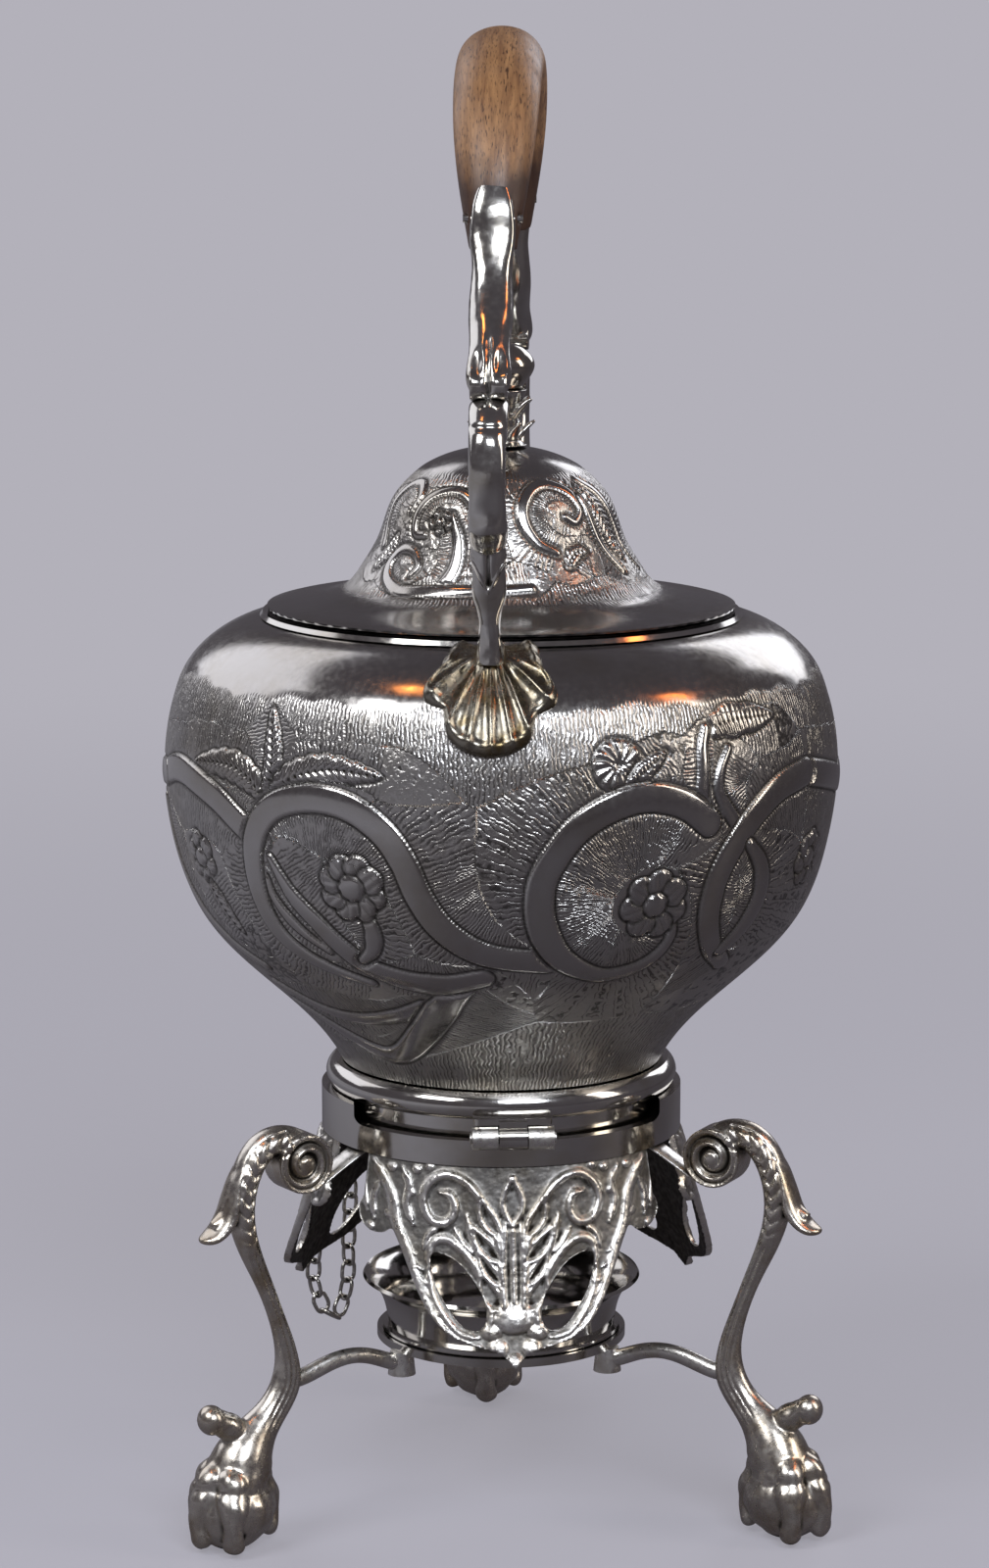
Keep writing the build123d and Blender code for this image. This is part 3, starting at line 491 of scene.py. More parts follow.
def squares(grid, flipped=False):
    """The faces between the points of a grid of point numbers."""
    corners = [grid[:-1, :-1], grid[1:, :-1], grid[1:, 1:], grid[:-1, 1:]]
    if flipped:
        corners[1:] = corners[:0:-1]
    return np.stack(corners, axis=-1).reshape(-1, 4).tolist()


def smooth_step(low_value, high_value, values):
    """0 below the low value, 1 above the high one, and an even ramp with soft ends between them."""
    part = np.clip((values - low_value) / (high_value - low_value), 0, 1)
    return part * part * (3 - 2 * part)


def within(distance, edge, start=-0.4, stop=0.3):
    """1 inside an edge and 0 outside it. The step starts and stops so many mm from the edge."""
    return 1 - smooth_step(edge + start, edge + stop, distance)


def hump(values, middle, width):
    """1 at the middle value, and fading to both sides."""
    return np.exp(-((values - middle) / width) ** 2)


def arched(part):
    """The height of a round back, from 1 in its middle to 0 at its edge."""
    return np.sqrt(np.clip(1 - part**2, 0, 1))


def flowing(points, steps=6):
    """A smooth line through the points, as a chaser would draw it."""
    points = np.asarray(points, float)
    ends = np.vstack([2 * points[0] - points[1], points, 2 * points[-1] - points[-2]])
    line = []
    for a, b, c, d in zip(ends[:-3], ends[1:-2], ends[2:-1], ends[3:]):
        for t in np.arange(steps) / steps:
            bend = (2 * a - 5 * b + 4 * c - d) * t**2
            line.append(0.5 * (2 * b + (c - a) * t + bend + (3 * b - a - 3 * c + d) * t**3))
    return np.array(line + [points[-1]])


def without_strays(stations, far=0.4):
    """Leaves out stations that jump away from the line through their neighbours, the worst first."""
    while True:
        chord = stations[2:] - stations[:-2]
        step = stations[1:-1] - stations[:-2]
        off = np.abs(chord[:, 0] * step[:, 1] - chord[:, 1] * step[:, 0]) / np.hypot(*chord.T)
        if off.max() < far:
            return stations
        stations = np.delete(stations, off.argmax() + 1, axis=0)


def outline_of(node_name, centre_height, wall=0.0):
    """The outline of a turned node, from the top down: radii, heights and lengths along it, in mm.

    With a wall, it is read from the plain inside of the shell and moved out by the wall's thickness,
    because the outside is carved."""
    places, normals = points_of(frame["nodes"][node_name])
    places = places / mm
    across = places[:, :2] - np.array([axis_x, axis_y]) / mm
    radius = np.hypot(across[:, 0], across[:, 1])
    height = places[:, 2]
    facing = (across * normals[:, :2]).sum(axis=1) / radius
    outward = facing * radius + (height - centre_height) * normals[:, 2]
    # The outside faces away from the centre. The plain inside faces it, and nowhere to the left or right.
    wanted = outward > 0.2 * radius
    if wall:
        wanted = (outward < -0.5 * radius) & (facing**2 + normals[:, 2] ** 2 > 0.9995)
        radius = radius - wall * facing
        height = height - wall * normals[:, 2]
    # Seen from the centre, the points on one side of the axis follow each other from the top down.
    wanted &= across[:, 1] < 0
    order = np.argsort(-np.arctan2(height - centre_height, radius)[wanted])
    places = np.stack([radius[wanted][order], height[wanted][order]], axis=1)
    stations = [places[0]]
    for place in places:
        if np.hypot(*(place - stations[-1])) > station_gap:
            stations.append(place)
    stations = np.array(stations)
    if wall:
        stations = without_strays(stations)
    radius, height = flowing(stations).T
    height = np.minimum.accumulate(height)
    lengths = np.concatenate([[0], np.cumsum(np.hypot(np.diff(radius), np.diff(height)))])
    return radius, height, lengths

# %% [markdown]
# ## Drawing on a turned surface
#
# The kettle's ornament was chased: lines were punched in from outside over a bed of pitch, and the
# ground between them was beaten down, so that smooth scrolls stand out of a darker, stroked ground.
# A sheet of points is laid over the turned surface, half a millimetre apart, and each motif raises
# or lowers the sheet by the distance to its line. The pattern comes twice round the kettle, so half
# a turn is drawn and then used twice.

# %% A sheet of points over a turned surface
half_turn = 180
far_off = 1e6


def new_sheet(outline, spans, column_mm):
    """Half a turn of a turned surface. spans lists its rows as (from height, to height, row spacing)."""
    radii, heights, lengths = outline
    rows = []
    for from_height, to_height, spacing in spans:
        start, stop = np.interp([-from_height, -to_height], -heights, lengths)
        rows.append(np.linspace(start, stop, max(2, round((stop - start) / spacing)), endpoint=False))
    rows = np.concatenate(rows + [[stop]])
    radius = np.interp(rows, lengths, radii)
    columns = round(pi * radius.max() / column_mm)
    angles = np.linspace(-half_turn / 2, half_turn / 2, columns, endpoint=False)
    shape = (len(rows), columns)
    sheet = {
        "rows": rows,
        "outline": outline,
        "angle": np.broadcast_to(angles, shape),
        "run": np.broadcast_to(rows[:, None], shape),
        "mm_per_degree": np.broadcast_to((radius * pi / 180)[:, None], shape),
        "row_scale": radius * pi / 180,
    }
    return clear_sheet(sheet)


def clear_sheet(sheet):
    """Empties the layers that the motifs are drawn in."""
    shape = sheet["angle"].shape
    for layer in ("raise", "hollow", "smooth", "stroke"):
        sheet[layer] = np.zeros(shape)
    sheet["nearest"] = np.full(shape, far_off)
    return sheet


def run_at(sheet, height):
    """How far down the outline a height lies, in mm."""
    radii, heights, lengths = sheet["outline"]
    return np.interp(-np.asarray(height, float), -heights, lengths)


def heights_of(sheet):
    """The height of every point of the sheet, in mm."""
    radii, heights, lengths = sheet["outline"]
    return np.interp(sheet["run"], lengths, heights)


def short_way(sheet, degrees):
    """Degrees round the sheet as mm, the shorter way round."""
    return ((degrees + half_turn / 2) % half_turn - half_turn / 2) * sheet["mm_per_degree"]


def measure(sheet, points):
    """How far every point of the sheet is from a line and along it, and the line's length."""
    line = flowing(points)
    line[:, 1] = run_at(sheet, line[:, 1])
    best = np.full(sheet["angle"].shape, far_off)
    along = np.zeros(best.shape)
    travelled = 0.0
    for (a0, r0), (a1, r1) in zip(line[:-1], line[1:]):
        x0 = short_way(sheet, a0 - sheet["angle"])
        y0 = r0 - sheet["run"]
        dx = (a1 - a0) * sheet["mm_per_degree"]
        dy = r1 - r0
        size = dx * dx + dy * dy + 1e-9
        part = np.clip(-(x0 * dx + y0 * dy) / size, 0, 1)
        distance = np.hypot(x0 + part * dx, y0 + part * dy)
        scale = float(np.interp((r0 + r1) / 2, sheet["rows"], sheet["row_scale"]))
        step = hypot((a1 - a0) * scale, dy)
        closer = distance < best
        best[closer] = distance[closer]
        along[closer] = (travelled + part * step)[closer]
        travelled += step
    return best, along, travelled


def local(sheet, centre):
    """Millimetres right of and below a point of the surface, for every point of the sheet."""
    angle, height = centre
    return short_way(sheet, sheet["angle"] - angle), sheet["run"] - run_at(sheet, height)


def lay(sheet, inside, height, hollow=0.0, smooth=1.0):
    """Lays a form over what the sheet holds, where inside is 1."""
    for layer, value in (("raise", height), ("hollow", hollow), ("smooth", smooth)):
        sheet[layer] = sheet[layer] * (1 - inside) + value * inside


line_width = 0.55
line_depth = 0.34


def chase_line(sheet, distance, edge):
    """A line punched along the outside of an edge, with tarnish left in it."""
    cut = hump(distance - edge, line_width, line_width)
    sheet["raise"] = sheet["raise"] - line_depth * cut
    sheet["hollow"] = np.maximum(sheet["hollow"], 0.8 * cut)
    sheet["smooth"] = np.maximum(sheet["smooth"], 0.6 * cut)


def note_strokes(sheet, distance, along):
    """The strokes run square to the nearest line, so each point keeps its place along that line."""
    closer = distance < sheet["nearest"]
    sheet["nearest"] = np.where(closer, distance, sheet["nearest"])
    sheet["stroke"] = np.where(closer, along, sheet["stroke"])


def band(sheet, points, widths, crest):
    """A rounded ribbon along a line. widths lists half widths, spread evenly from its start to its end."""
    distance, along, length = measure(sheet, points)
    half_width = np.interp(along / length, np.linspace(0, 1, len(widths)), widths)
    across = np.clip(distance / half_width, 0, 1)
    lay(sheet, within(distance, half_width, 1.0, 1.6), 0.0, smooth=0.0)
    lay(sheet, within(distance, half_width, -0.2, 0.5), crest * (1 - 0.42 * across**2))
    chase_line(sheet, distance, half_width)
    note_strokes(sheet, distance, along)


def button(sheet, x, y, radius, crest):
    """A round boss."""
    distance = np.hypot(x, y)
    lay(sheet, within(distance, radius), crest * arched(distance / (radius * 1.12)))
    chase_line(sheet, distance, radius)


def flower(sheet, centre, petals, radius, boss, first_turn=20.0):
    """A flower of overlapping round petals with strokes on them, and a round boss."""
    x, y = local(sheet, centre)
    petal_radius = radius * 0.36
    reach = radius - petal_radius
    for i in range(petals):
        turn = radians(first_turn + 360 * i / petals)
        px = x - reach * cos(turn)
        py = y - reach * sin(turn)
        outward = (px * cos(turn) + py * sin(turn)) / petal_radius
        across = (-px * sin(turn) + py * cos(turn)) / petal_radius
        distance = np.hypot(px, py)
        combed = np.sin(across * 9.0 + outward * 2.0)
        bowl = 0.52 * np.sqrt(np.clip(1.25 - (distance / petal_radius) ** 2, 0, 1)) + 0.11 * combed
        petal = within(distance, petal_radius)
        lay(sheet, petal, bowl, hollow=0.45 * np.clip(-combed, 0, 1), smooth=0.9)
        chase_line(sheet, distance, petal_radius)
    button(sheet, x, y, boss, 0.95)


def leaf(sheet, midrib, half_width, lobes, crest=0.62, vein_mm=2.2, slant=0.9):
    """A leaf along its midrib, with a scalloped edge and slanting veins."""
    distance, along, length = measure(sheet, midrib)
    part = np.clip(along / length, 0, 1)
    swell = np.sin(pi * np.clip(part, 0.02, 1) ** 0.7) ** 0.7
    scallop = 0.82 + 0.18 * np.abs(np.sin(pi * lobes * part + 0.35 * distance))
    edge = half_width * swell * scallop + 0.15
    veins = np.sin((along - slant * distance) * 2 * pi / vein_mm)
    groove = hump(distance, 0, 0.45)
    height = crest * (1 - 0.5 * (distance / edge) ** 2) + 0.2 * veins - 0.35 * groove
    dirt = np.clip(0.7 * groove - 0.5 * veins, 0, 1)
    lay(sheet, within(distance, edge, 0.9, 1.4), 0.0, smooth=0.0)
    lay(sheet, within(distance, edge, -0.35, 0.3), height, hollow=dirt, smooth=0.9)
    chase_line(sheet, distance, edge)
    note_strokes(sheet, distance, along)


def fan(sheet, centre, radius):
    """A round shell, with flutes that turn as they run out."""
    x, y = local(sheet, centre)
    distance = np.hypot(x, y)
    fluted = np.sin(np.arctan2(y, x) * 13 + distance * 0.5)
    height = 0.5 + 0.24 * fluted - 0.03 * (distance - 4) ** 2
    lay(sheet, within(distance, radius), height, hollow=np.clip(-fluted, 0, 1) * 0.7, smooth=0.9)
    chase_line(sheet, distance, radius)


# %% [markdown]
# ## The scrolls, flowers and leaves of the body
#
# Each line below follows a line of the photograph, written as (angle, height) on the kettle. The
# chaser's order matters: what lies on top is drawn last.

# %% Chase the body's pattern
shoulder_edge = 237.5
ground_depth = 0.72
body_wall = 1.5
body_outline = outline_of("body_shell", 190, body_wall)
body_sheet = new_sheet(body_outline, [
    (251.45, 241.0, 1.6),
    (241.0, 131.5, 0.52),
    (131.5, 127.02, 1.4),
], 0.53)


def chase_body(sheet):
    """Half a turn of the pattern: the left side first, then the right side, which laps over it."""
    for border in (
        [(-90, 237.0), (-60, 238.3), (-31, 236.2), (0, 236.7), (32, 235.9), (60, 237.4), (90, 237.0)],
        [(-90, 133.0), (0, 133.0), (90, 133.0)],
    ):
        note_strokes(sheet, *measure(sheet, border)[:2])
    crest = ground_depth - 0.06
    wide = 3.55
    slim = wide * 0.62

    leaf(sheet, [(-42.2, 212), (-46, 217), (-52, 219.2), (-62, 217.8)], 4.2, 7)
    leaf(sheet, [(-41.6, 213), (-40.6, 221), (-41.2, 228), (-42.6, 235.6)], 2.9, 6)
    leaf(sheet, [(-40.6, 212.5), (-36.5, 218), (-29, 221.5), (-19.5, 220.6)], 4.4, 9)
    leaf(sheet, [(-23.8, 213.5), (-30, 215.8), (-37.4, 213.8)], 1.6, 8)

    band(sheet, [(-78.7, 210.4), (-71, 213.6), (-64.5, 213.3), (-54.8, 209.4), (-47.0, 202.8),
                 (-43.4, 200.2)], [wide], crest)
    band(sheet, [(-81, 203), (-79.5, 190), (-73, 176), (-64, 166), (-56, 161)], [1.2, 2.0, 1.6], crest * 0.8)
    band(sheet, [(-60, 155.5), (-48.5, 149.0), (-36.3, 148.0), (-24, 151.0), (-16, 155)],
         [0.8, 2.2, 2.6, 3.2], crest)
    band(sheet, [(-62, 149), (-50, 140.4), (-38, 135.9), (-29, 138.0), (-19, 146.5), (-11.5, 156.5),
                 (-5.5, 164.2)], [0.8, 2.4, 3.2, 4.2, 4.6, 2.2], crest)
    band(sheet, [(-43.2, 190), (-42, 184.0), (-38.0, 176.6), (-32.4, 170.8)], [0.7, 1.5, 0.7], crest * 0.75)
    band(sheet, [(-41.6, 196.0), (-37.9, 186.2), (-33.7, 179.4), (-29.8, 173.0), (-25.2, 167.4),
                 (-17.7, 163.6), (-10.5, 163.0), (-3.5, 165.4)], [0.8, 2.2, 2.7, 3.2, 4.2, 3.0], crest)
    band(sheet, [(-24.0, 184.5), (-22.6, 178), (-23.4, 172.5), (-25.9, 169.2)], [1.2, 2.3, 1.1], crest * 0.8)
    band(sheet, [(-26, 161.9), (-33, 164.8), (-39.2, 168.8), (-43.6, 174.8), (-45.7, 183.5), (-46.0, 192.8),
                 (-44.6, 201.6), (-41.2, 208.6), (-36.4, 212.4), (-30.2, 213.6), (-24.5, 211.6),
                 (-19.3, 205.9), (-16, 198.2), (-13.8, 189.3), (-10.7, 181.3), (-6.2, 175.3),
                 (-0.8, 172.0), (8.2, 170.4)], [1.2, 2.6, wide, wide, wide, wide, wide], crest)
    flower(sheet, (-25.5, 190.1), 8, 9.6, 3.4)
    flower(sheet, (-62.5, 191.0), 6, 7.4, 2.6)
    leaf(sheet, [(-61.0, 184), (-58.0, 177), (-55.0, 171)], 2.6, 4)

    band(sheet, [(101.3, 210.4), (85, 207.4), (77, 209.6), (69.8, 212.1), (61.7, 214.9)], [wide], crest)
    leaf(sheet, [(36.6, 230.8), (43, 232.4), (53.8, 232.0)], 4.6, 3, vein_mm=1.7, slant=0.15)
    band(sheet, [(34.2, 213.6), (34.8, 219.5), (35.2, 226.6), (36.4, 231.2)], [1.9, 1.7, 1.5, 1.2], crest)
    band(sheet, [(40.6, 225.5), (38.4, 220), (38.0, 213.8), (41.0, 206.6), (43.4, 203.4)],
         [0.9, 1.5, 1.9], crest)
    fan(sheet, (19.3, 223.4), 7.0)
    leaf(sheet, [(21.0, 217.8), (23.6, 221.5), (28.0, 226.3)], 2.4, 3, vein_mm=1.4, slant=1.4)
    band(sheet, [(61.7, 214.9), (53.3, 212.8), (47.7, 208.3), (43.7, 202.8), (40.2, 195.3), (38.5, 187.6),
                 (38.7, 179.0), (42.0, 170.2), (48, 164)], [wide, wide, wide, 2.2], crest)
    band(sheet, [(45.6, 198.5), (49.2, 192.0), (50.6, 184.0), (48.8, 175.6), (44.8, 168.8)],
         [1.4, 2.8, 3.0, 1.8], crest)
    flower(sheet, (66.0, 190.0), 7, 8.0, 2.7)
    band(sheet, [(35.9, 206.4), (30.8, 212.3), (24.3, 214.9), (18.2, 213.0), (12.7, 208.0), (9.0, 200.9),
                 (6.5, 192.4), (6.8, 181.5), (10.5, 171.6), (18.0, 165.7), (24.8, 166.6), (29.0, 170.3),
                 (31.0, 175.6), (30.6, 180.4)], [wide, wide, wide, wide * 1.05, slim, 1.0], crest)
    flower(sheet, (26.7, 185.3), 7, 9.8, 3.2)


chase_body(body_sheet)
print("body sheet:", body_sheet["raise"].shape, "points in half a turn")

# %% [markdown]
# ## From the drawing to metal
#
# The drawn heights are laid on the turned outline. The kettle is cut into four shells, because one
# mesh as fine as this would be too heavy to work with. Each is a closed wall: a fine outside, a
# coarse inside, and edges between them. The outside's normals come from the whole sheet, so light
# runs over the joins without a break.

# %% Raise shells from a sheet
def raised_surface(sheet, ground):
    """Points, normals and layers over the full turn, from the half turn that was drawn."""
    radii, heights, lengths = sheet["outline"]
    rows = sheet["rows"]
    radius = np.interp(rows, lengths, radii)
    height = np.interp(rows, lengths, heights)
    tangent_r = np.gradient(radius, rows)
    tangent_z = np.gradient(height, rows)
    size = np.hypot(tangent_r, tangent_z)
    normal_r = -tangent_z / size
    normal_z = tangent_r / size
    lift = np.tile(sheet["raise"] - ground, (1, 2))
    columns = lift.shape[1]
    angles = -half_turn / 2 + np.arange(columns) * 360 / columns
    r = radius[:, None] + lift * normal_r[:, None]
    z = height[:, None] + lift * normal_z[:, None]
    points = points_at(r, angles[None, :], z)
    across = np.roll(points, -1, axis=1) - np.roll(points, 1, axis=1)
    down = np.gradient(points, axis=0)
    normals = np.cross(down, across)
    normals /= np.linalg.norm(normals, axis=2, keepdims=True)
    layers = {name: np.tile(sheet[name], (1, 2)) for name in ("hollow", "smooth", "stroke")}
    return points, normals, layers, (radius, height, normal_r, normal_z)


def shell_piece(name, surface, columns, wall, coarse=10):
    """A closed wall over a span of columns. Its inside keeps one row and column in so many."""
    points, normals, layers, (radius, height, normal_r, normal_z) = surface
    span = np.arange(columns[0], columns[1] + 1)
    wrapped = span % points.shape[1]
    outer = points[:, wrapped]
    keep_rows = np.unique(np.append(np.arange(0, len(radius), coarse), len(radius) - 1))
    keep_columns = np.unique(np.append(np.arange(0, len(span), coarse), len(span) - 1))
    inner_r = (radius - wall * normal_r)[keep_rows]
    inner_z = (height - wall * normal_z)[keep_rows]
    inner_angles = (-half_turn / 2 + span * 360 / points.shape[1])[keep_columns][None, :]
    inner = points_at(inner_r[:, None], inner_angles, inner_z[:, None])
    grid = np.arange(outer.shape[0] * outer.shape[1]).reshape(outer.shape[:2])
    back = grid.size + np.arange(inner.shape[0] * inner.shape[1]).reshape(inner.shape[:2])
    faces = squares(grid) + squares(back, flipped=True)
    for i, (a, b) in enumerate(zip(keep_columns[:-1], keep_columns[1:])):
        faces.append([*grid[0, a:b + 1], back[0, i + 1], back[0, i]])
        faces.append([*grid[-1, a:b + 1][::-1], back[-1, i], back[-1, i + 1]])
    for i, (a, b) in enumerate(zip(keep_rows[:-1], keep_rows[1:])):
        faces.append([*grid[a:b + 1, 0][::-1], back[i, 0], back[i + 1, 0]])
        faces.append([*grid[a:b + 1, -1], back[i + 1, -1], back[i, -1]])
    faces = [[int(corner) for corner in face] for face in faces]
    piece = new_piece(name, np.vstack([outer.reshape(-1, 3), inner.reshape(-1, 3)]), faces)
    padding = np.zeros(back.size)
    for layer, values in (
        ("hollow", layers["hollow"]),
        ("stroke", layers["stroke"]),
        ("matted", 1 - layers["smooth"]),
    ):
        store(piece.data, layer, np.append(values[:, wrapped].ravel(), padding))
    for face in piece.data.polygons:
        face.use_smooth = True
    inward = (np.array(upright(0, 0, 0)) - points_at(1.0, inner_angles, 0.0)) / mm
    inward = np.broadcast_to(inward, inner.shape).reshape(-1, 3)
    every_normal = np.vstack([normals[:, wrapped].reshape(-1, 3), inward])
    piece.data.normals_split_custom_set_from_vertices(every_normal.tolist())
    return piece


# %% [markdown]
# ## The kettle's body
#
# Above the pattern the shoulder is plain and polished: nothing is beaten down there, and the ground
# starts with a soft, slightly wavering edge. The four shells meet halfway between the picture's
# front, right, back and left.

# %% The kettle's body
shell_wall = 1.45


def smooth_above(sheet, boundary_height, soft):
    """The plain shoulder, above a wavering boundary."""
    wobble = 0.7 * np.sin(sheet["angle"] * 0.21) + 0.5 * np.sin(sheet["angle"] * 0.7 + 1.0)
    height = heights_of(sheet) + wobble
    plain = smooth_step(boundary_height - soft, boundary_height + soft * 0.3, height)
    polished = smooth_step(boundary_height - 1.2, boundary_height + 1.2, height)
    sheet["raise"] = sheet["raise"] * (1 - plain) + ground_depth * plain
    sheet["smooth"] = np.maximum(sheet["smooth"], polished)
    sheet["hollow"] = np.maximum(sheet["hollow"], 0.16 * (1 - sheet["smooth"]))


smooth_above(body_sheet, shoulder_edge, 9.0)
body_surface = raised_surface(body_sheet, ground_depth)
body_columns = body_surface[0].shape[1]
for i, quarter in enumerate(("front", "right", "back", "left")):
    ends = [round(body_columns * (end / 4 + 1 / 8)) for end in (i, i + 1)]
    shell = shell_piece("body_" + quarter, body_surface, ends, shell_wall)
    settle(shell, "kettle", "chased_silver", chased_plate, "body_shell")

# %% [markdown]
# ## The lid
#
# The lid is a low bell, chased in the same way and then burnished flat round its rim. Its scrolls
# are lighter than the body's. It is small enough to be one shell.

# %% Chase the lid
lid_outline = outline_of("lid_shell", 235)
lid_sheet = new_sheet(lid_outline, [
    (297.5, 290.6, 0.9),
    (290.6, 258.6, 0.5),
    (258.6, 254.3, 1.5),
], 0.56)
lid_ground = 0.28
lid_wall = 1.05


def chase_lid(sheet):
    """Half a turn of the lid's lighter scrolls, leaves and flower."""
    for height in (290.0, 259.5):
        note_strokes(sheet, *measure(sheet, [(-90, height), (0, height), (90, height)])[:2])
    crest = lid_ground - 0.02
    slim = 1.15
    band(sheet, [(-69, 272.0), (-74.5, 278.0), (-75.5, 284.0), (-68, 288.4), (-58, 289.2), (-50.5, 286.2),
                 (-52, 281.5)], [slim, slim, slim, 0.7], crest)
    band(sheet, [(-24.5, 262.6), (-20.0, 268.5), (-20.5, 275.5), (-26.0, 281.5)], [1.9, 1.5, 0.8], crest)
    band(sheet, [(-9.2, 269.0), (-8.8, 276.0), (-12.3, 283.0), (-21, 287.2), (-32.8, 287.8), (-43, 285.6),
                 (-47.4, 280.8), (-45.6, 276.4), (-39.5, 276.0)], [1.6, slim, slim, slim, 0.7], crest)
    flower(sheet, (-31.5, 279.6), 5, 3.4, 1.2)
    band(sheet, [(12, 263.4), (-6, 262.9), (-15.8, 262.7), (-31.0, 262.0), (-43, 261.8), (-53, 264.4),
                 (-56, 268.6), (-51, 271.8), (-43, 271.4), (-38.0, 268.3), (-40.5, 265.6)],
         [0.9, slim, 1.6, 1.5, slim, 0.6], crest)
    leaf(sheet, [(-66.5, 266.0), (-61.5, 270.5), (-58.5, 275.5)], 1.9, 3, crest=0.3, vein_mm=1.5)
    band(sheet, [(26, 272.0), (17.5, 274.6), (11.4, 279.8), (11.6, 285.0), (19, 288.9), (31, 289.6),
                 (42, 287.2), (45.4, 282.6), (40, 279.6), (34, 281.0)], [0.9, 1.5, 1.6, slim, 0.7], crest)
    leaf(sheet, [(52, 288.4), (58.5, 281.5), (63.0, 274.5), (66.0, 268.2)], 3.4, 4, crest=0.3, vein_mm=2.0)
    band(sheet, [(56.5, 290.0), (66.5, 286.4), (72.5, 279.5), (74.5, 271.5), (80, 265.4)],
         [slim, slim, 0.8], crest)
    band(sheet, [(48.5, 286.0), (50.5, 279.0), (54.5, 272.0), (61, 265.6)], [0.6, 1.0, 0.6], crest)
    leaf(sheet, [(30, 268.6), (36, 271.6), (43, 271.8)], 2.0, 3, crest=0.3, vein_mm=1.5)


def smooth_ends(sheet, top_height, low_height, soft, ground):
    """Burnishes the crown and the rim smooth."""
    height = heights_of(sheet)
    plain = np.maximum(smooth_step(top_height - soft, top_height + soft, height),
                       1 - smooth_step(low_height - soft * 0.4, low_height + soft * 0.6, height))
    sheet["raise"] = sheet["raise"] * (1 - plain) + ground * plain
    sheet["smooth"] = np.maximum(sheet["smooth"], plain)
    sheet["hollow"] = np.maximum(sheet["hollow"] * (1 - plain), 0.14 * (1 - sheet["smooth"]))


chase_lid(lid_sheet)
smooth_ends(lid_sheet, 291.0, 258.8, 1.6, lid_ground)
lid_surface = raised_surface(lid_sheet, lid_ground)
lid = shell_piece("lid_dome", lid_surface, (0, lid_surface[0].shape[1]), lid_wall)
settle(lid, "lid", "chased_silver", chased_plate, "lid_shell")

# %% [markdown]
# ## Working like wax
#
# The stand's parts were cast from wax or sand patterns, so they are soft-edged lumps with tooled
# lines. Their CAD shape gives the lump. A merged copy is remeshed into small even squares, points
# are pushed in or out as a modelling tool would do it, and what then lies lower than its smoothed
# surroundings is remembered as a hollow, where polish and dirt stay.

# %% Helpers for cast pieces
def level_ways(turn):
    """Level unit vectors out from the axis in a direction, and to the right as seen from outside."""
    out_way = np.array([cos(radians(turn)), sin(radians(turn))])
    return out_way, np.array([-out_way[1], out_way[0]])


def plane_parts(points, turn):
    """How far out, to the right and up points are, in mm, facing a direction from the axis."""
    out_way, right_way = level_ways(turn)
    flat = (points[:, :2] - np.array([axis_x, axis_y])) / mm
    return flat @ out_way, flat @ right_way, points[:, 2] / mm


def slide(points, way, distance):
    """Moves points level in a direction, by distances in mm."""
    points[:, :2] += np.outer(distance * mm, way)


def grainy(points, scale):
    """Soft noise at each point, with about as many grains to a metre as the scale says."""
    return np.array([noise.noise(Vector(point) * scale) for point in points])


def rolled(name, stations, turn, around=20):
    """A bar of wax through (out, up, width, depth) stations in mm, in the upright plane of a direction."""
    line = flowing(stations, 5)
    ways = np.gradient(line[:, :2], axis=0)
    ways /= np.linalg.norm(ways, axis=1, keepdims=True)
    out_way, right_way = (np.append(way, 0) for way in level_ways(turn))
    up_way = np.array([0, 0, 1])
    angles = np.arange(around)[:, None] * 2 * pi / around
    rings = []
    for (out, up, width, depth), (way_out, way_up) in zip(line, ways):
        middle = np.array([axis_x, axis_y, 0]) + (out * out_way + up * up_way) * mm
        thick_way = way_out * up_way - way_up * out_way
        ring = np.cos(angles) * width * right_way + np.sin(angles) * depth * thick_way
        rings.append(middle + ring * mm / 2)
    grid = np.arange(len(rings) * around).reshape(-1, around)
    faces = squares(np.hstack([grid, grid[:, :1]]), flipped=True)
    faces += [grid[0, ::-1].tolist(), grid[-1].tolist()]
    return new_piece(name, np.vstack(rings), faces)


def lump(turn, place, sizes, tilt=0, swing=0):
    """An oval lump of wax at (out, across, up) in a direction, with its half lengths, all in mm."""
    bpy.ops.object.select_all(action="DESELECT")
    out, across, up = place
    way = radians(turn)
    x = axis_x + (out * cos(way) - across * sin(way)) * mm
    y = axis_y + (out * sin(way) + across * cos(way)) * mm
    bpy.ops.mesh.primitive_uv_sphere_add(
        segments=24, ring_count=14, radius=mm, location=(x, y, up * mm),
        rotation=(0, radians(tilt), way + radians(swing)), scale=sizes,
    )
    bpy.ops.object.transform_apply(location=True, rotation=True, scale=True)
    return bpy.context.active_object


def soften(piece, rounds, factor):
    """Smooths the active piece."""
    smoother = piece.modifiers.new("softened", "SMOOTH")
    smoother.iterations = rounds
    smoother.factor = factor
    bpy.ops.object.modifier_apply(modifier=smoother.name)


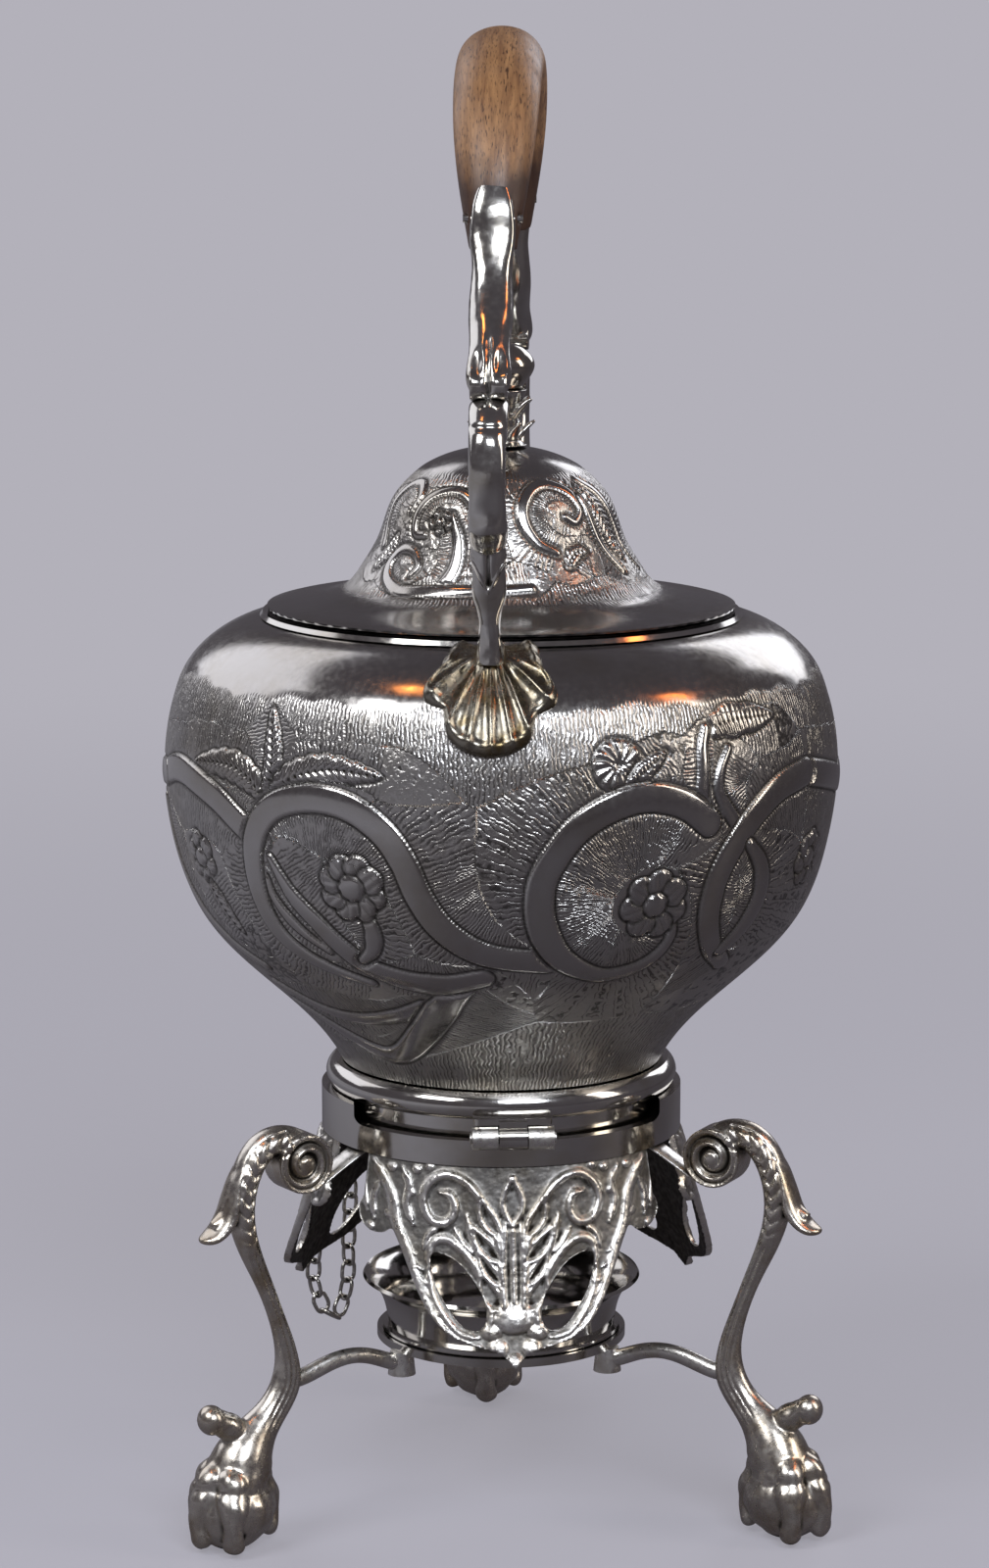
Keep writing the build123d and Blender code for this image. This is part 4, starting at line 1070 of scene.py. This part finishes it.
def wax_copy(name, node_name, voxel_mm, smooth_rounds=1, lumps=()):
    """A merged and remeshed copy of a CAD node, with lumps added, as one object."""
    parts = [*lumps, placed(name, frame["nodes"][node_name].data.copy())]
    pick(*parts)
    piece = parts[0]
    if lumps:
        bpy.ops.object.join()
    piece.name = name
    bpy.ops.object.mode_set(mode="EDIT")
    bpy.ops.mesh.select_all(action="SELECT")
    bpy.ops.mesh.remove_doubles(threshold=merge_mm * mm)
    bpy.ops.object.mode_set(mode="OBJECT")
    remesh = piece.modifiers.new("even_squares", "REMESH")
    remesh.mode = "VOXEL"
    remesh.voxel_size = voxel_mm * mm
    remesh.use_smooth_shade = True
    bpy.ops.object.modifier_apply(modifier=remesh.name)
    soften(piece, smooth_rounds, 0.5)
    bpy.ops.object.shade_smooth()
    return piece


def set_points(piece, points):
    """Moves a mesh's points to new places, in metres."""
    piece.data.vertices.foreach_set("co", np.asarray(points, dtype=np.float32).ravel())
    piece.data.update()


def note_hollows(piece, rounds, full_depth, stained=0.0):
    """Stores as hollow how deep each point lies below its smoothed surroundings, or a given mix of tarnish
    and painted shade.
    """
    points, normals = points_of(piece)
    edges = np.empty(len(piece.data.edges) * 2, dtype=np.int64)
    piece.data.edges.foreach_get("vertices", edges)
    a, b = edges.reshape(-1, 2).T
    count = len(points)
    degree = np.bincount(a, minlength=count) + np.bincount(b, minlength=count)

    def around(values):
        """The mean of each point's neighbours."""
        total = np.bincount(a, weights=values[b], minlength=count)
        total = total + np.bincount(b, weights=values[a], minlength=count)
        return total / np.maximum(degree, 1)

    smoothed = points.copy()
    for _ in range(rounds):
        smoothed = np.stack([around(smoothed[:, i]) for i in range(3)], axis=1)
    depth = ((smoothed - points) * normals).sum(axis=1) / mm
    for _ in range(2):
        depth = around(depth)
    store(piece.data, "hollow", np.maximum(np.clip(depth / full_depth, 0, 1), stained))


def copied(piece, name, degrees):
    """A copy with its own mesh, turned about the kettle's axis."""
    twin = placed(name, piece.data.copy())
    middle = Vector((axis_x, axis_y, 0))
    turn = Matrix.Rotation(radians(degrees), 4, "Z")
    twin.data.transform(Matrix.Translation(middle) @ turn @ Matrix.Translation(-middle))
    return twin


def flat_sheet(across, height):
    """A sheet to draw motifs on, over points given in mm across and up."""
    top = 140.0
    sheet = {
        "rows": np.array([0.0, top]),
        "outline": (np.zeros(2), np.array([top, 0.0]), np.array([0.0, top])),
        "angle": np.asarray(across),
        "run": top - np.asarray(height),
        "mm_per_degree": np.ones(len(across)),
        "row_scale": np.ones(2),
    }
    return clear_sheet(sheet)


# %% [markdown]
# ## The pierced aprons
#
# Three cast aprons hang from the ring. Each has two volutes that grow from a central stem, pairs of
# leaflets, a drop at the top and a double rim round the holes. Half of it is drawn and mirrored, on
# the outer face only, as the real one is plain inside.

# %% Model one apron and copy it
def rope(sheet, points, half_width, height, end_taper=2.0):
    """A raised round line. Where lines meet, the higher one shows."""
    distance, along, length = measure(sheet, points)
    half_width = half_width * np.clip(np.minimum(along, length - along) / end_taper, 0.35, 1)
    foot = 0.25 * hump(distance, 0, half_width * 1.3)
    form = height * np.maximum(arched(distance / half_width), foot)
    sheet["raise"] = np.maximum(sheet["raise"], form)


def dome(sheet, centre, half_wide, half_high, height):
    """A raised round lump."""
    x, y = local(sheet, centre)
    lump = np.sqrt(np.clip(1 - (x / half_wide) ** 2 - (y / half_high) ** 2, 0, 1))
    sheet["raise"] = np.maximum(sheet["raise"], height * lump)


def leaflet(sheet, base, tip, half_width, bend=0.0):
    """A small leaf with a raised rim and a sunk middle."""
    middle = ((base[0] + tip[0]) / 2 + bend, (base[1] + tip[1]) / 2)
    distance, along, length = measure(sheet, [base, middle, tip])
    part = np.clip(along / length, 0, 1)
    edge = half_width * np.sin(pi * np.clip(part, 0.04, 0.96) ** 0.85) ** 0.8
    inside = within(distance, edge, -0.2, 0.2)
    sheet["raise"] = sheet["raise"] * (1 - inside) - 0.25 * inside
    sheet["raise"] = np.maximum(sheet["raise"], 1.15 * arched((distance - edge) / 0.75))


def model_apron(sheet):
    """Ropes first, then the domes on them, the leaflets, and the drop and its neighbours."""
    volute = [(-2.6, 70.0), (-3.4, 82.7), (-5.0, 91.8), (-8.4, 98.4), (-12.7, 103.4), (-18.0, 105.0),
              (-22.4, 102.3), (-24.0, 97.7), (-22.0, 93.0), (-18.0, 92.4), (-15.6, 95.8), (-16.6, 99.4),
              (-19.4, 100.2)]
    rim = [(-36.6, 106.0), (-34.0, 101.5), (-32.2, 97.6), (-31.2, 91.0), (-28.2, 84.0), (-26.0, 77.0),
           (-22.6, 69.6), (-18.4, 64.2), (-13.0, 61.2), (-7.6, 60.0)]
    hole_rim = [(-22.6, 80.5), (-21.8, 86.6), (-17.6, 88.0), (-12.6, 84.4), (-8.6, 78.4), (-6.2, 71.6),
                (-6.6, 66.0)]
    hole_low = [(-22.8, 80.0), (-21.8, 73.6), (-18.6, 68.0), (-14.6, 64.2), (-9.6, 63.2)]
    ropes = [(rim, 1.5, 1.25), (hole_low, 1.0, 1.05), (hole_rim, 1.25, 1.3)]
    for i in range(7):
        x = -30.4 + 11.4 * (i / 6)
        up = 88.6 - 23.0 * (i / 6)
        ropes.append(([(x, up), (x + 1.6, up - 3.4), (x + 4.4, up - 5.2)], 0.7, 1.0, 1.2))
    ropes += [
        ([(-15.6, 91.0), (-13.8, 87.6), (-10.6, 84.6)], 0.8, 1.1, 1.2),
        ([(-12.4, 94.6), (-11.0, 88.4), (-8.4, 82.0), (-5.6, 76.0)], 0.85, 1.15),
        ([(-19.8, 91.0), (-22.6, 89.0), (-24.0, 85.0)], 0.8, 1.0, 1.2),
        (volute, 1.25, 1.6),
        ([(0.0, 69.0), (0.0, 82.0), (0.0, 92.6)], 0.95, 1.25),
        ([(-2.7 * 1.05, 69.0), (-2.7, 82.0), (-2.7 * 0.75, 92.6)], 0.95, 1.25),
        ([(-29.2, 105.4), (-27.6, 101.2), (-28.4, 96.0), (-26.6, 91.0)], 1.1, 1.1),
        ([(-35.2, 101.5), (-37.2, 96.0), (-37.0, 91.0)], 1.0, 1.0),
        ([(-40.2, 104.5), (-39.6, 98.0), (-38.8, 92.5)], 0.9, 1.0),
    ]
    for form in ropes:
        rope(sheet, *form)
    for centre in (
        (-25.4, 105.6), (-22.0, 106.6), (-32.0, 105.2), (-27.2, 99.4), (-38.2, 88.8), (-33.0, 92.8)
    ):
        dome(sheet, centre, 1.3, 1.2, 1.0)
    for form in (
        ((-3.6, 89.4), (-8.6, 98.8), 1.9, -0.8),
        ((-3.4, 82.6), (-10.6, 91.2), 1.9, -0.8),
        ((-3.4, 76.6), (-9.4, 85.2), 1.5, -0.6),
        ((-3.2, 70.2), (-8.6, 79.4), 2.3, -1.0),
        ((0, 92.8), (0, 104.2), 2.7),
    ):
        leaflet(sheet, *form)
    for form in (
        ((0, 68.4), 6.2, 4.2, 1.6),
        ((-6.2, 65.0), 3.0, 2.4, 1.1),
        ((-4.6, 60.6), 2.8, 2.6, 1.1),
        ((0, 57.0), 2.6, 2.6, 1.7),
    ):
        dome(sheet, *form)


apron_turn = -90
apron_voxel = 0.43
sunk_base = 0.7
apron = wax_copy("apron_cast_front", "apron_front", apron_voxel)
points, normals = points_of(apron)
out_way = level_ways(apron_turn)[0]
out, across, height = plane_parts(points, apron_turn)
half_apron = flat_sheet(-np.abs(across), height)
model_apron(half_apron)
facing = normals[:, :2] @ out_way
outside = smooth_step(0.25, 0.6, facing)
cast_skin = grainy(points, 620) + 0.6 * grainy(points, 1500)
slide(points, out_way, (half_apron["raise"] - sunk_base) * outside + 0.13 * cast_skin)
set_points(apron, points)
valley = outside * (1 - smooth_step(-0.1, 0.9, half_apron["raise"])) * 0.7
# Painted shade: the faces that turn in towards the burner are made dark.
inside = smooth_step(0.2, 0.6, -facing) * 0.8
note_hollows(apron, 16, 0.4, np.maximum(valley, inside))
settle(apron, "stand", "cast_silver", cast_plate, "apron_front")
for name, degrees in (("right", 120), ("left", -120)):
    other = copied(apron, "apron_cast_" + name, degrees)
    settle(other, "stand", "cast_silver", cast_plate, "apron_" + name)

# %% [markdown]
# ## The legs
#
# A leg is one casting: a scroll, an arch with a smooth ribbon on its back and leafy ribs down its
# sides, a fluted shaft, a spur and a paw over a ball. The two sides of a leg mirror each other, so
# the tool strokes are worked out in the leg's own plane, from the distance to its middle line. Wax
# is laid on the CAD shape first: the leaf's turned lip, the spur, the ball and the toes' knuckles.

# %% Model one leg and copy it
leg_turn = -150
leg_voxel = 0.42
scroll_centre = (66.2, 105.6)
scroll_disc = 8.3
boss_radius = 2.3
spiral_pitch = 3.3
scroll_face = 5.0
ribbon_half = 2.6
foot_middle = 87.5
rib_pitch = 3.9
rib_reach = 2.9
floor_gap = 0.03
leaf_lip = [(79.0, 111.0, 8.2, 3.6), (84.2, 104.6, 9.4, 4.6), (87.0, 98.4, 10.0, 4.6),
            (88.8, 93.6, 10.2, 4.6), (91.2, 90.2, 10.0, 4.0), (94.0, 88.2, 8.8, 3.2),
            (96.2, 87.8, 5.6, 2.2), (97.2, 88.2, 2.0, 1.0)]
arch_line = [(70.6, 112.4), (78.4, 110.4), (83.2, 102.6), (84.4, 93.6), (82.6, 85.0)]
shaft_line = [(82.6, 85.0), (77.4, 72.6), (73.0, 61.0), (70.6, 51.6), (70.9, 43.6), (75.2, 36.6),
              (80.4, 31.0)]
lumps = [
    rolled("lip", leaf_lip, leg_turn),
    lump(leg_turn, (foot_middle, 0, 11.4), (11.5, 11.5, 10.6)),
    lump(leg_turn, (94.4, 0, 37.0), (3.8, 4.4, 4.2)),
    lump(leg_turn, (89.0, 0, 34.2), (5.4, 4.0, 3.9), -28),
]
for claw_turn in (0, 58, 180, 302):
    for reach, up, sizes, tilt in ((6.2, 20.2, (6.0, 4.4, 4.2), 38), (9.6, 14.4, (4.2, 4.2, 3.6), 55)):
        claw_out = foot_middle + reach * cos(radians(claw_turn))
        claw_across = reach * sin(radians(claw_turn))
        lumps.append(lump(leg_turn, (claw_out, claw_across, up), sizes, tilt, claw_turn))
leg = wax_copy("leg_cast_left", "leg_left", leg_voxel, 7, lumps)
points, normals = points_of(leg)
right_way = level_ways(leg_turn)[1]
out, across, height = plane_parts(points, leg_turn)
sideways = normals[:, :2] @ right_way
facing_side = smooth_step(0.35, 0.8, np.abs(sideways))
leg_plane = flat_sheet(out, height)

distance, along, length = measure(leg_plane, arch_line)
on_arch = (along > 0.3) & (along < length - 0.3) & (distance < 6)
ribs = np.abs(np.sin(pi * (along + 0.9 * distance) / rib_pitch)) ** 0.6 - 0.55
ribs = 0.85 * ribs * (distance < rib_reach) - 0.7 * hump(distance, rib_reach, 0.45)
relief = np.where(on_arch, facing_side * ribs, 0)

distance, along, length = measure(leg_plane, shaft_line)
on_shaft = (along > 1) & (along < length - 1) & (distance < 5)
ends = smooth_step(1, 5, along) * (1 - smooth_step(length - 7, length - 1, along))
flutes = hump(distance, 0.1, 0.5) + 0.8 * hump(distance, 1.5, 0.4)
relief = relief + np.where(on_shaft, -0.65 * flutes * facing_side * ends, 0)
slide(points, right_way, np.sign(sideways) * relief)

dx = out - scroll_centre[0]
dz = height - scroll_centre[1]
radius = np.hypot(dx, dz)
spiral = np.cos(2 * pi * (radius / spiral_pitch) - np.arctan2(dz, dx))
boss = 0.9 * arched(radius / boss_radius)
face_depth = scroll_face + np.where(radius < boss_radius, boss, 0.75 * spiral - 0.55)
on_disc = (radius < scroll_disc - 0.9) & (np.abs(across) > ribbon_half) & (np.abs(sideways) > 0.25)
slide(points, right_way, np.where(on_disc, np.sign(across) * face_depth - across, 0))
paw_skin = grainy(points, 260) * (1 - smooth_step(20, 30, height))
points += normals * (0.45 * paw_skin * mm)[:, None]
points[:, 2] = np.maximum(points[:, 2], floor_gap * mm)
set_points(leg, points)
pick(leg)
soften(leg, 1, 0.4)
note_hollows(leg, 16, 0.4)
settle(leg, "stand", "cast_silver", leg_plate, "leg_left")
for name, degrees in (("right", 120), ("rear", 240)):
    other = copied(leg, "leg_cast_" + name, degrees)
    settle(other, "stand", "cast_silver", leg_plate, "leg_" + name)

# %% [markdown]
# ## The shells under the handle
#
# Each foot of the handle is soldered to a scallop shell: a tongue with narrow flutes, a wing on each
# side and a thick edge that stands off the shoulder. The shell is drawn as a fan. For each direction
# there is a reach to its edge, and a flute sinks between each pair of ridges. The fan is laid on the
# shoulder's curve and closed behind, so it is a solid piece that sits on the kettle.

# %% Model a shell and set one at each end of the handle
shell_root_down = 6.0
shell_edge = [(-112, 10.6), (-80, 11.6), (-54, 15.5), (-47, 23.6), (-42, 25.5), (-36, 25.2), (-29, 24.0),
              (-25, 26.5), (-21, 30.2), (-12, 32.8), (0, 34.0), (12, 33.4), (20, 32.0), (24, 29.0),
              (28, 26.0), (34, 26.2), (41, 26.8), (47, 24.6), (56, 16.6), (80, 13.0), (109, 12.5)]
shell_ridges = [-112, -52, -39, -21, -9, 2, 12, 21, 38, 51, 109]
flute_depths = [0.4, 0.7, 2.3, 1.3, 1.2, 1.1, 1.2, 2.3, 0.7, 0.4]
edge_wall = 2.7
spine_half = 3.3
buried = 0.5


def model_shell(name, picture_angle):
    """A fan of ridges and flutes on the shoulder, closed behind, with a spine under the handle's foot."""
    radii, heights, lengths = body_outline
    turns = np.arange(shell_ridges[0], shell_ridges[-1] + 0.1, 1.0)
    edge = np.interp(turns, *zip(*shell_edge))
    edge = np.convolve(np.pad(edge, 2, "edge"), np.ones(5) / 5, "valid")[:, None]
    turn, part = np.meshgrid(turns, np.linspace(0.05, 1, 52), indexing="ij")
    reach = part * edge
    across = reach * np.sin(np.radians(turn))
    down = shell_root_down + reach * np.cos(np.radians(turn))
    place = np.interp(turn, shell_ridges, np.arange(len(shell_ridges)))
    flute = np.clip(place.astype(int), 0, len(flute_depths) - 1)
    dip = np.array(flute_depths)[flute] * np.sin(pi * (place - flute)) ** 0.8 * smooth_step(4, 15, reach)
    top = 1.4 + 0.07 * reach
    inner_edge = edge - edge_wall
    fall = np.clip((reach - inner_edge) / edge_wall, 0, 1)
    lip = 0.5 * hump(reach, inner_edge, 1.1)
    spine = 2.8 * arched(across / spine_half) * (1 - smooth_step(10, 20, down))
    lift = (top + lip - dip * (1 - fall)) * np.sqrt(1 - fall**2) - 0.4 * fall + spine
    radius = np.interp(down, lengths, radii)
    height = np.interp(down, lengths, heights)
    slope_r = np.interp(down, lengths, np.gradient(radii, lengths))
    slope_z = np.interp(down, lengths, np.gradient(heights, lengths))
    angle = picture_angle + np.degrees(across / radius)
    sides = [points_at(radius - raised * slope_z, angle, height + raised * slope_r).reshape(-1, 3)
             for raised in (lift, np.full(lift.shape, -buried))]
    front = np.arange(lift.size).reshape(lift.shape)
    faces = squares(front, flipped=True) + squares(front + lift.size)
    around = [*front[0], *front[1:, -1], *front[-1, -2::-1], *front[-2:0:-1, 0]]
    for here, there in zip(around, around[1:] + around[:1]):
        faces.append([int(here), int(here) + lift.size, int(there) + lift.size, int(there)])
    shell = new_piece(name, np.vstack(sides), faces)
    pick(shell)
    bpy.ops.object.mode_set(mode="EDIT")
    bpy.ops.mesh.select_all(action="SELECT")
    bpy.ops.mesh.normals_make_consistent(inside=False)
    bpy.ops.object.mode_set(mode="OBJECT")
    points, normals = points_of(shell)
    set_points(shell, points + normals * (0.06 * grainy(points, 900) * mm)[:, None])
    bpy.ops.object.shade_smooth()
    note_hollows(shell, 14, 0.5)
    return shell


handle_angle = handle_turn - camera_turn
for end, angle in (("near", handle_angle), ("far", handle_angle + 180)):
    shell = model_shell("shell_" + end, angle)
    settle(shell, "kettle", "plated_silver", mount_plate, "shell_mount_" + end)

# %% [markdown]
# ## The handle's metal parts and the finial
#
# These are small castings, filed and soldered together. A merged wax-like copy rounds their edges,
# and their hollows keep the brown of old tarnish. The scroll's stem is waisted and split into two
# leaves, its bow is dished in front, and the arm ends in a cleft curl with a hollow on each side. A
# short root of wax carries each stem down into the shell below it.

# %% Soften and tool the small castings
def window(low_value, high_value, soft, values):
    """1 between two values, with soft ends."""
    above = smooth_step(low_value - soft, low_value + soft, values)
    return above * (1 - smooth_step(high_value - soft, high_value + soft, values))


def tool_scroll(across, height):
    """How much wider a point of the lower scroll goes, and how much further out, by its height in mm."""
    waist = -0.31 * hump(height, 274.0, 5.0) * across
    split = -1.0 * hump(across, 0, 0.8) * window(269, 279, 1.5, height)
    veins = 0.7 * hump(height - 268.5, 1.3 * np.abs(across), 0.8)
    dished = -0.8 * np.clip(1 - (across / 3.8) ** 2, 0, 1) * window(289, 306, 3, height)
    crease = -0.7 * hump(height, 311.2, 0.8)
    rounded = 1.1 * np.clip(1 - (across / 5.5) ** 2, 0, 1) * (1 - smooth_step(276, 284, height))
    knob = 1.3 * np.exp(-((height - 285.0) / 2.8) ** 2 - (across / 4.2) ** 2)
    return waist, split + veins + dished + crease + rounded + knob


def tool_arm(across, height):
    """The same for the upper arm: a cleft end, and a broad top where it meets the wood."""
    broad = (0.15 * smooth_step(348, 358, height) + 0.32 * smooth_step(362, 373, height)) * across
    flat = 0.8 * np.clip(np.abs(across) / 5, 0, 1) ** 2 * smooth_step(334, 340, height)
    hollows = -1.5 * np.exp(-((np.abs(across) - 2.7) / 1.4) ** 2 - ((height - 327.0) / 3.0) ** 2)
    cleft = -1.2 * hump(across, 0, 0.8) * window(318, 333, 2, height)
    forward = 1.0 * smooth_step(358, 366, height)
    return broad, hollows + cleft + forward + flat


stem_root = [(76.9, 248.4, 7.4, 7.0), (76.9, 252.6, 6.4, 6.4), (77.3, 257.0, 5.9, 5.9),
             (77.9, 260.5, 5.4, 5.4)]
for name, node_name, body, voxel, tool in (
    ("scroll_near", "lower_scroll_near", "kettle", 0.36, tool_scroll),
    ("scroll_far", "lower_scroll_far", "kettle", 0.36, tool_scroll),
    ("arm_near", "upper_arm_near", "kettle", 0.4, tool_arm),
    ("arm_far", "upper_arm_far", "kettle", 0.4, tool_arm),
    ("calyx", "finial_calyx", "lid", 0.3, None),
):
    turn = handle_turn + (180 if name.endswith("far") else 0)
    lumps = [rolled("stem_root", stem_root, turn)] if tool is tool_scroll else []
    cast = wax_copy("cast_" + name, node_name, voxel, 2, lumps)
    points, normals = points_of(cast)
    if tool:
        out_way, right_way = level_ways(turn)
        out, across, height = plane_parts(points, turn)
        wider, further = tool(across, height)
        slide(points, out_way, further * smooth_step(0.1, 0.7, normals[:, :2] @ out_way))
        slide(points, right_way, wider)
    dents = np.sin(points[:, 2] * 620) * np.sin(points[:, 0] * 700 + 1) * np.sin(points[:, 1] * 660)
    depth = 0.04
    if tool is tool_scroll:
        depth = 0.04 + 0.13 * (1 - smooth_step(278, 286, points[:, 2] / mm))
    set_points(cast, points + normals * (depth * dents * mm)[:, None])
    note_hollows(cast, 20, 0.4)
    settle(cast, body, "plated_silver", worn_plate, node_name)

# %% [markdown]
# ## The wooden grip
#
# The grip is one piece of fruitwood, turned and bent by carving into an arch, and worn smooth. Its
# surface comes from the CAD solid. Grain follows the arch: every point keeps how far along, how far
# to the side and how deep it lies, and the wood's noise is stretched along the first of these.

# %% Model the grip
grip_voxel = 0.6
arch_radius = 68.0
grain_radius = 62.0
grip = wax_copy("carved_grip", "wood_grip", grip_voxel, 3)
points, normals = points_of(grip)
out, across, height = plane_parts(points, handle_turn)
arch_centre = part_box("wood_grip")[1][2] / mm - arch_radius
turn = np.arctan2(out, height - arch_centre)
reach = np.hypot(out, height - arch_centre)
grain_place = np.stack([turn * grain_radius, across, reach], axis=1) * mm
kept = grip.data.attributes.new("grain", "FLOAT_VECTOR", "POINT")
kept.data.foreach_set("vector", grain_place.astype(np.float32).ravel())
end_stain = 1 - smooth_step(367, 381, height)
# Painted shade: the grip is darker where it faces down.
under = smooth_step(0.2, 0.9, -normals[:, 2]) * 0.25
store(grip.data, "stain", end_stain * 0.75 + under)
settle(grip, "kettle", "stained_wood", stained_wood, "wood_grip")

# %% [markdown]
# ## The chain
#
# The chain is hand-made: each link is a ring of round wire pulled to an oval, closed with solder,
# and set square to the next. One link is modelled and copied to the place and turn of every link
# of the CAD chain, which are read from its loose parts.

# %% Model one link and set the chain
def loose_parts(node_name):
    """The points of each separate part of a CAD node."""
    bm = bmesh.new()
    bm.from_mesh(frame["nodes"][node_name].data)
    bmesh.ops.remove_doubles(bm, verts=bm.verts, dist=merge_mm * mm)
    unseen = set(bm.verts)
    parts = []
    for first in bm.verts:  # in the mesh's own order, so that each run gives the same links
        if first not in unseen:
            continue
        unseen.remove(first)
        stack = [first]
        part = []
        while stack:
            point = stack.pop()
            part.append(tuple(point.co))
            for edge in point.link_edges:
                other = edge.other_vert(point)
                if other in unseen:
                    unseen.remove(other)
                    stack.append(other)
        parts.append(np.array(part))
    bm.free()
    return parts


def make_link(length, width, wire):
    """An oval link of round wire, in mm, lying in the XY plane with its length along X."""
    bpy.ops.object.select_all(action="DESELECT")
    bpy.ops.mesh.primitive_torus_add(
        major_radius=(width - wire) / 2 * mm, minor_radius=wire / 2 * mm,
        major_segments=28, minor_segments=10,
    )
    link = bpy.context.active_object
    points = points_of(link)[0]
    straight = (length - width) / 2 * mm
    points[:, 0] += straight * np.clip(points[:, 0] / (0.12 * width * mm), -1, 1)
    set_points(link, points)
    return link


link_length, link_width, link_wire = 7.3, 5.7, 1.15
first_link = make_link(link_length, link_width, link_wire)
links = []
for part in loose_parts("chain"):
    middle = part.mean(axis=0)
    ways = np.linalg.eigh(np.cov((part - middle).T))[1]
    long_way, wide_way = Vector(ways[:, 2]), Vector(ways[:, 1])
    turn = Matrix((long_way, wide_way, long_way.cross(wide_way))).transposed().to_4x4()
    mesh = first_link.data.copy()
    mesh.transform(Matrix.Translation(Vector(middle)) @ turn)
    links.append(placed("link", mesh))
bpy.data.objects.remove(first_link)
pick(*links)
bpy.ops.object.join()
chain = links[0]
chain.name = "pin_chain"
bpy.ops.object.shade_smooth()
settle(chain, "stand", "cast_silver", worn_plate, "chain")

# %% [markdown]
# ## Finishing
#
# Nodes that keep their CAD shape get their finish here. The two boxes are printed, so that
# the looks can be held against the part's own size.

# %% Materials for the CAD nodes, and the end
finishes = {
    "plated_silver": polished_plate,
    "chased_silver": chased_plate,
    "cast_silver": cast_plate,
    "stained_wood": stained_wood,
    "cotton_wick": wick_cotton,
}
slots = {part["node"]: part["material_slot"] for part in frame["record"]["subparts"]}
for name, node in frame["nodes"].items():
    node.data.materials.clear()
    node.data.materials.append(finishes[slots[name]])

seen_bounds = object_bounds()
sizes = {
    "cad": [[float(v) for v in corner] for corner in cad_bounds],
    "seen": [[float(v) for v in corner] for corner in seen_bounds],
}
print(sizes)
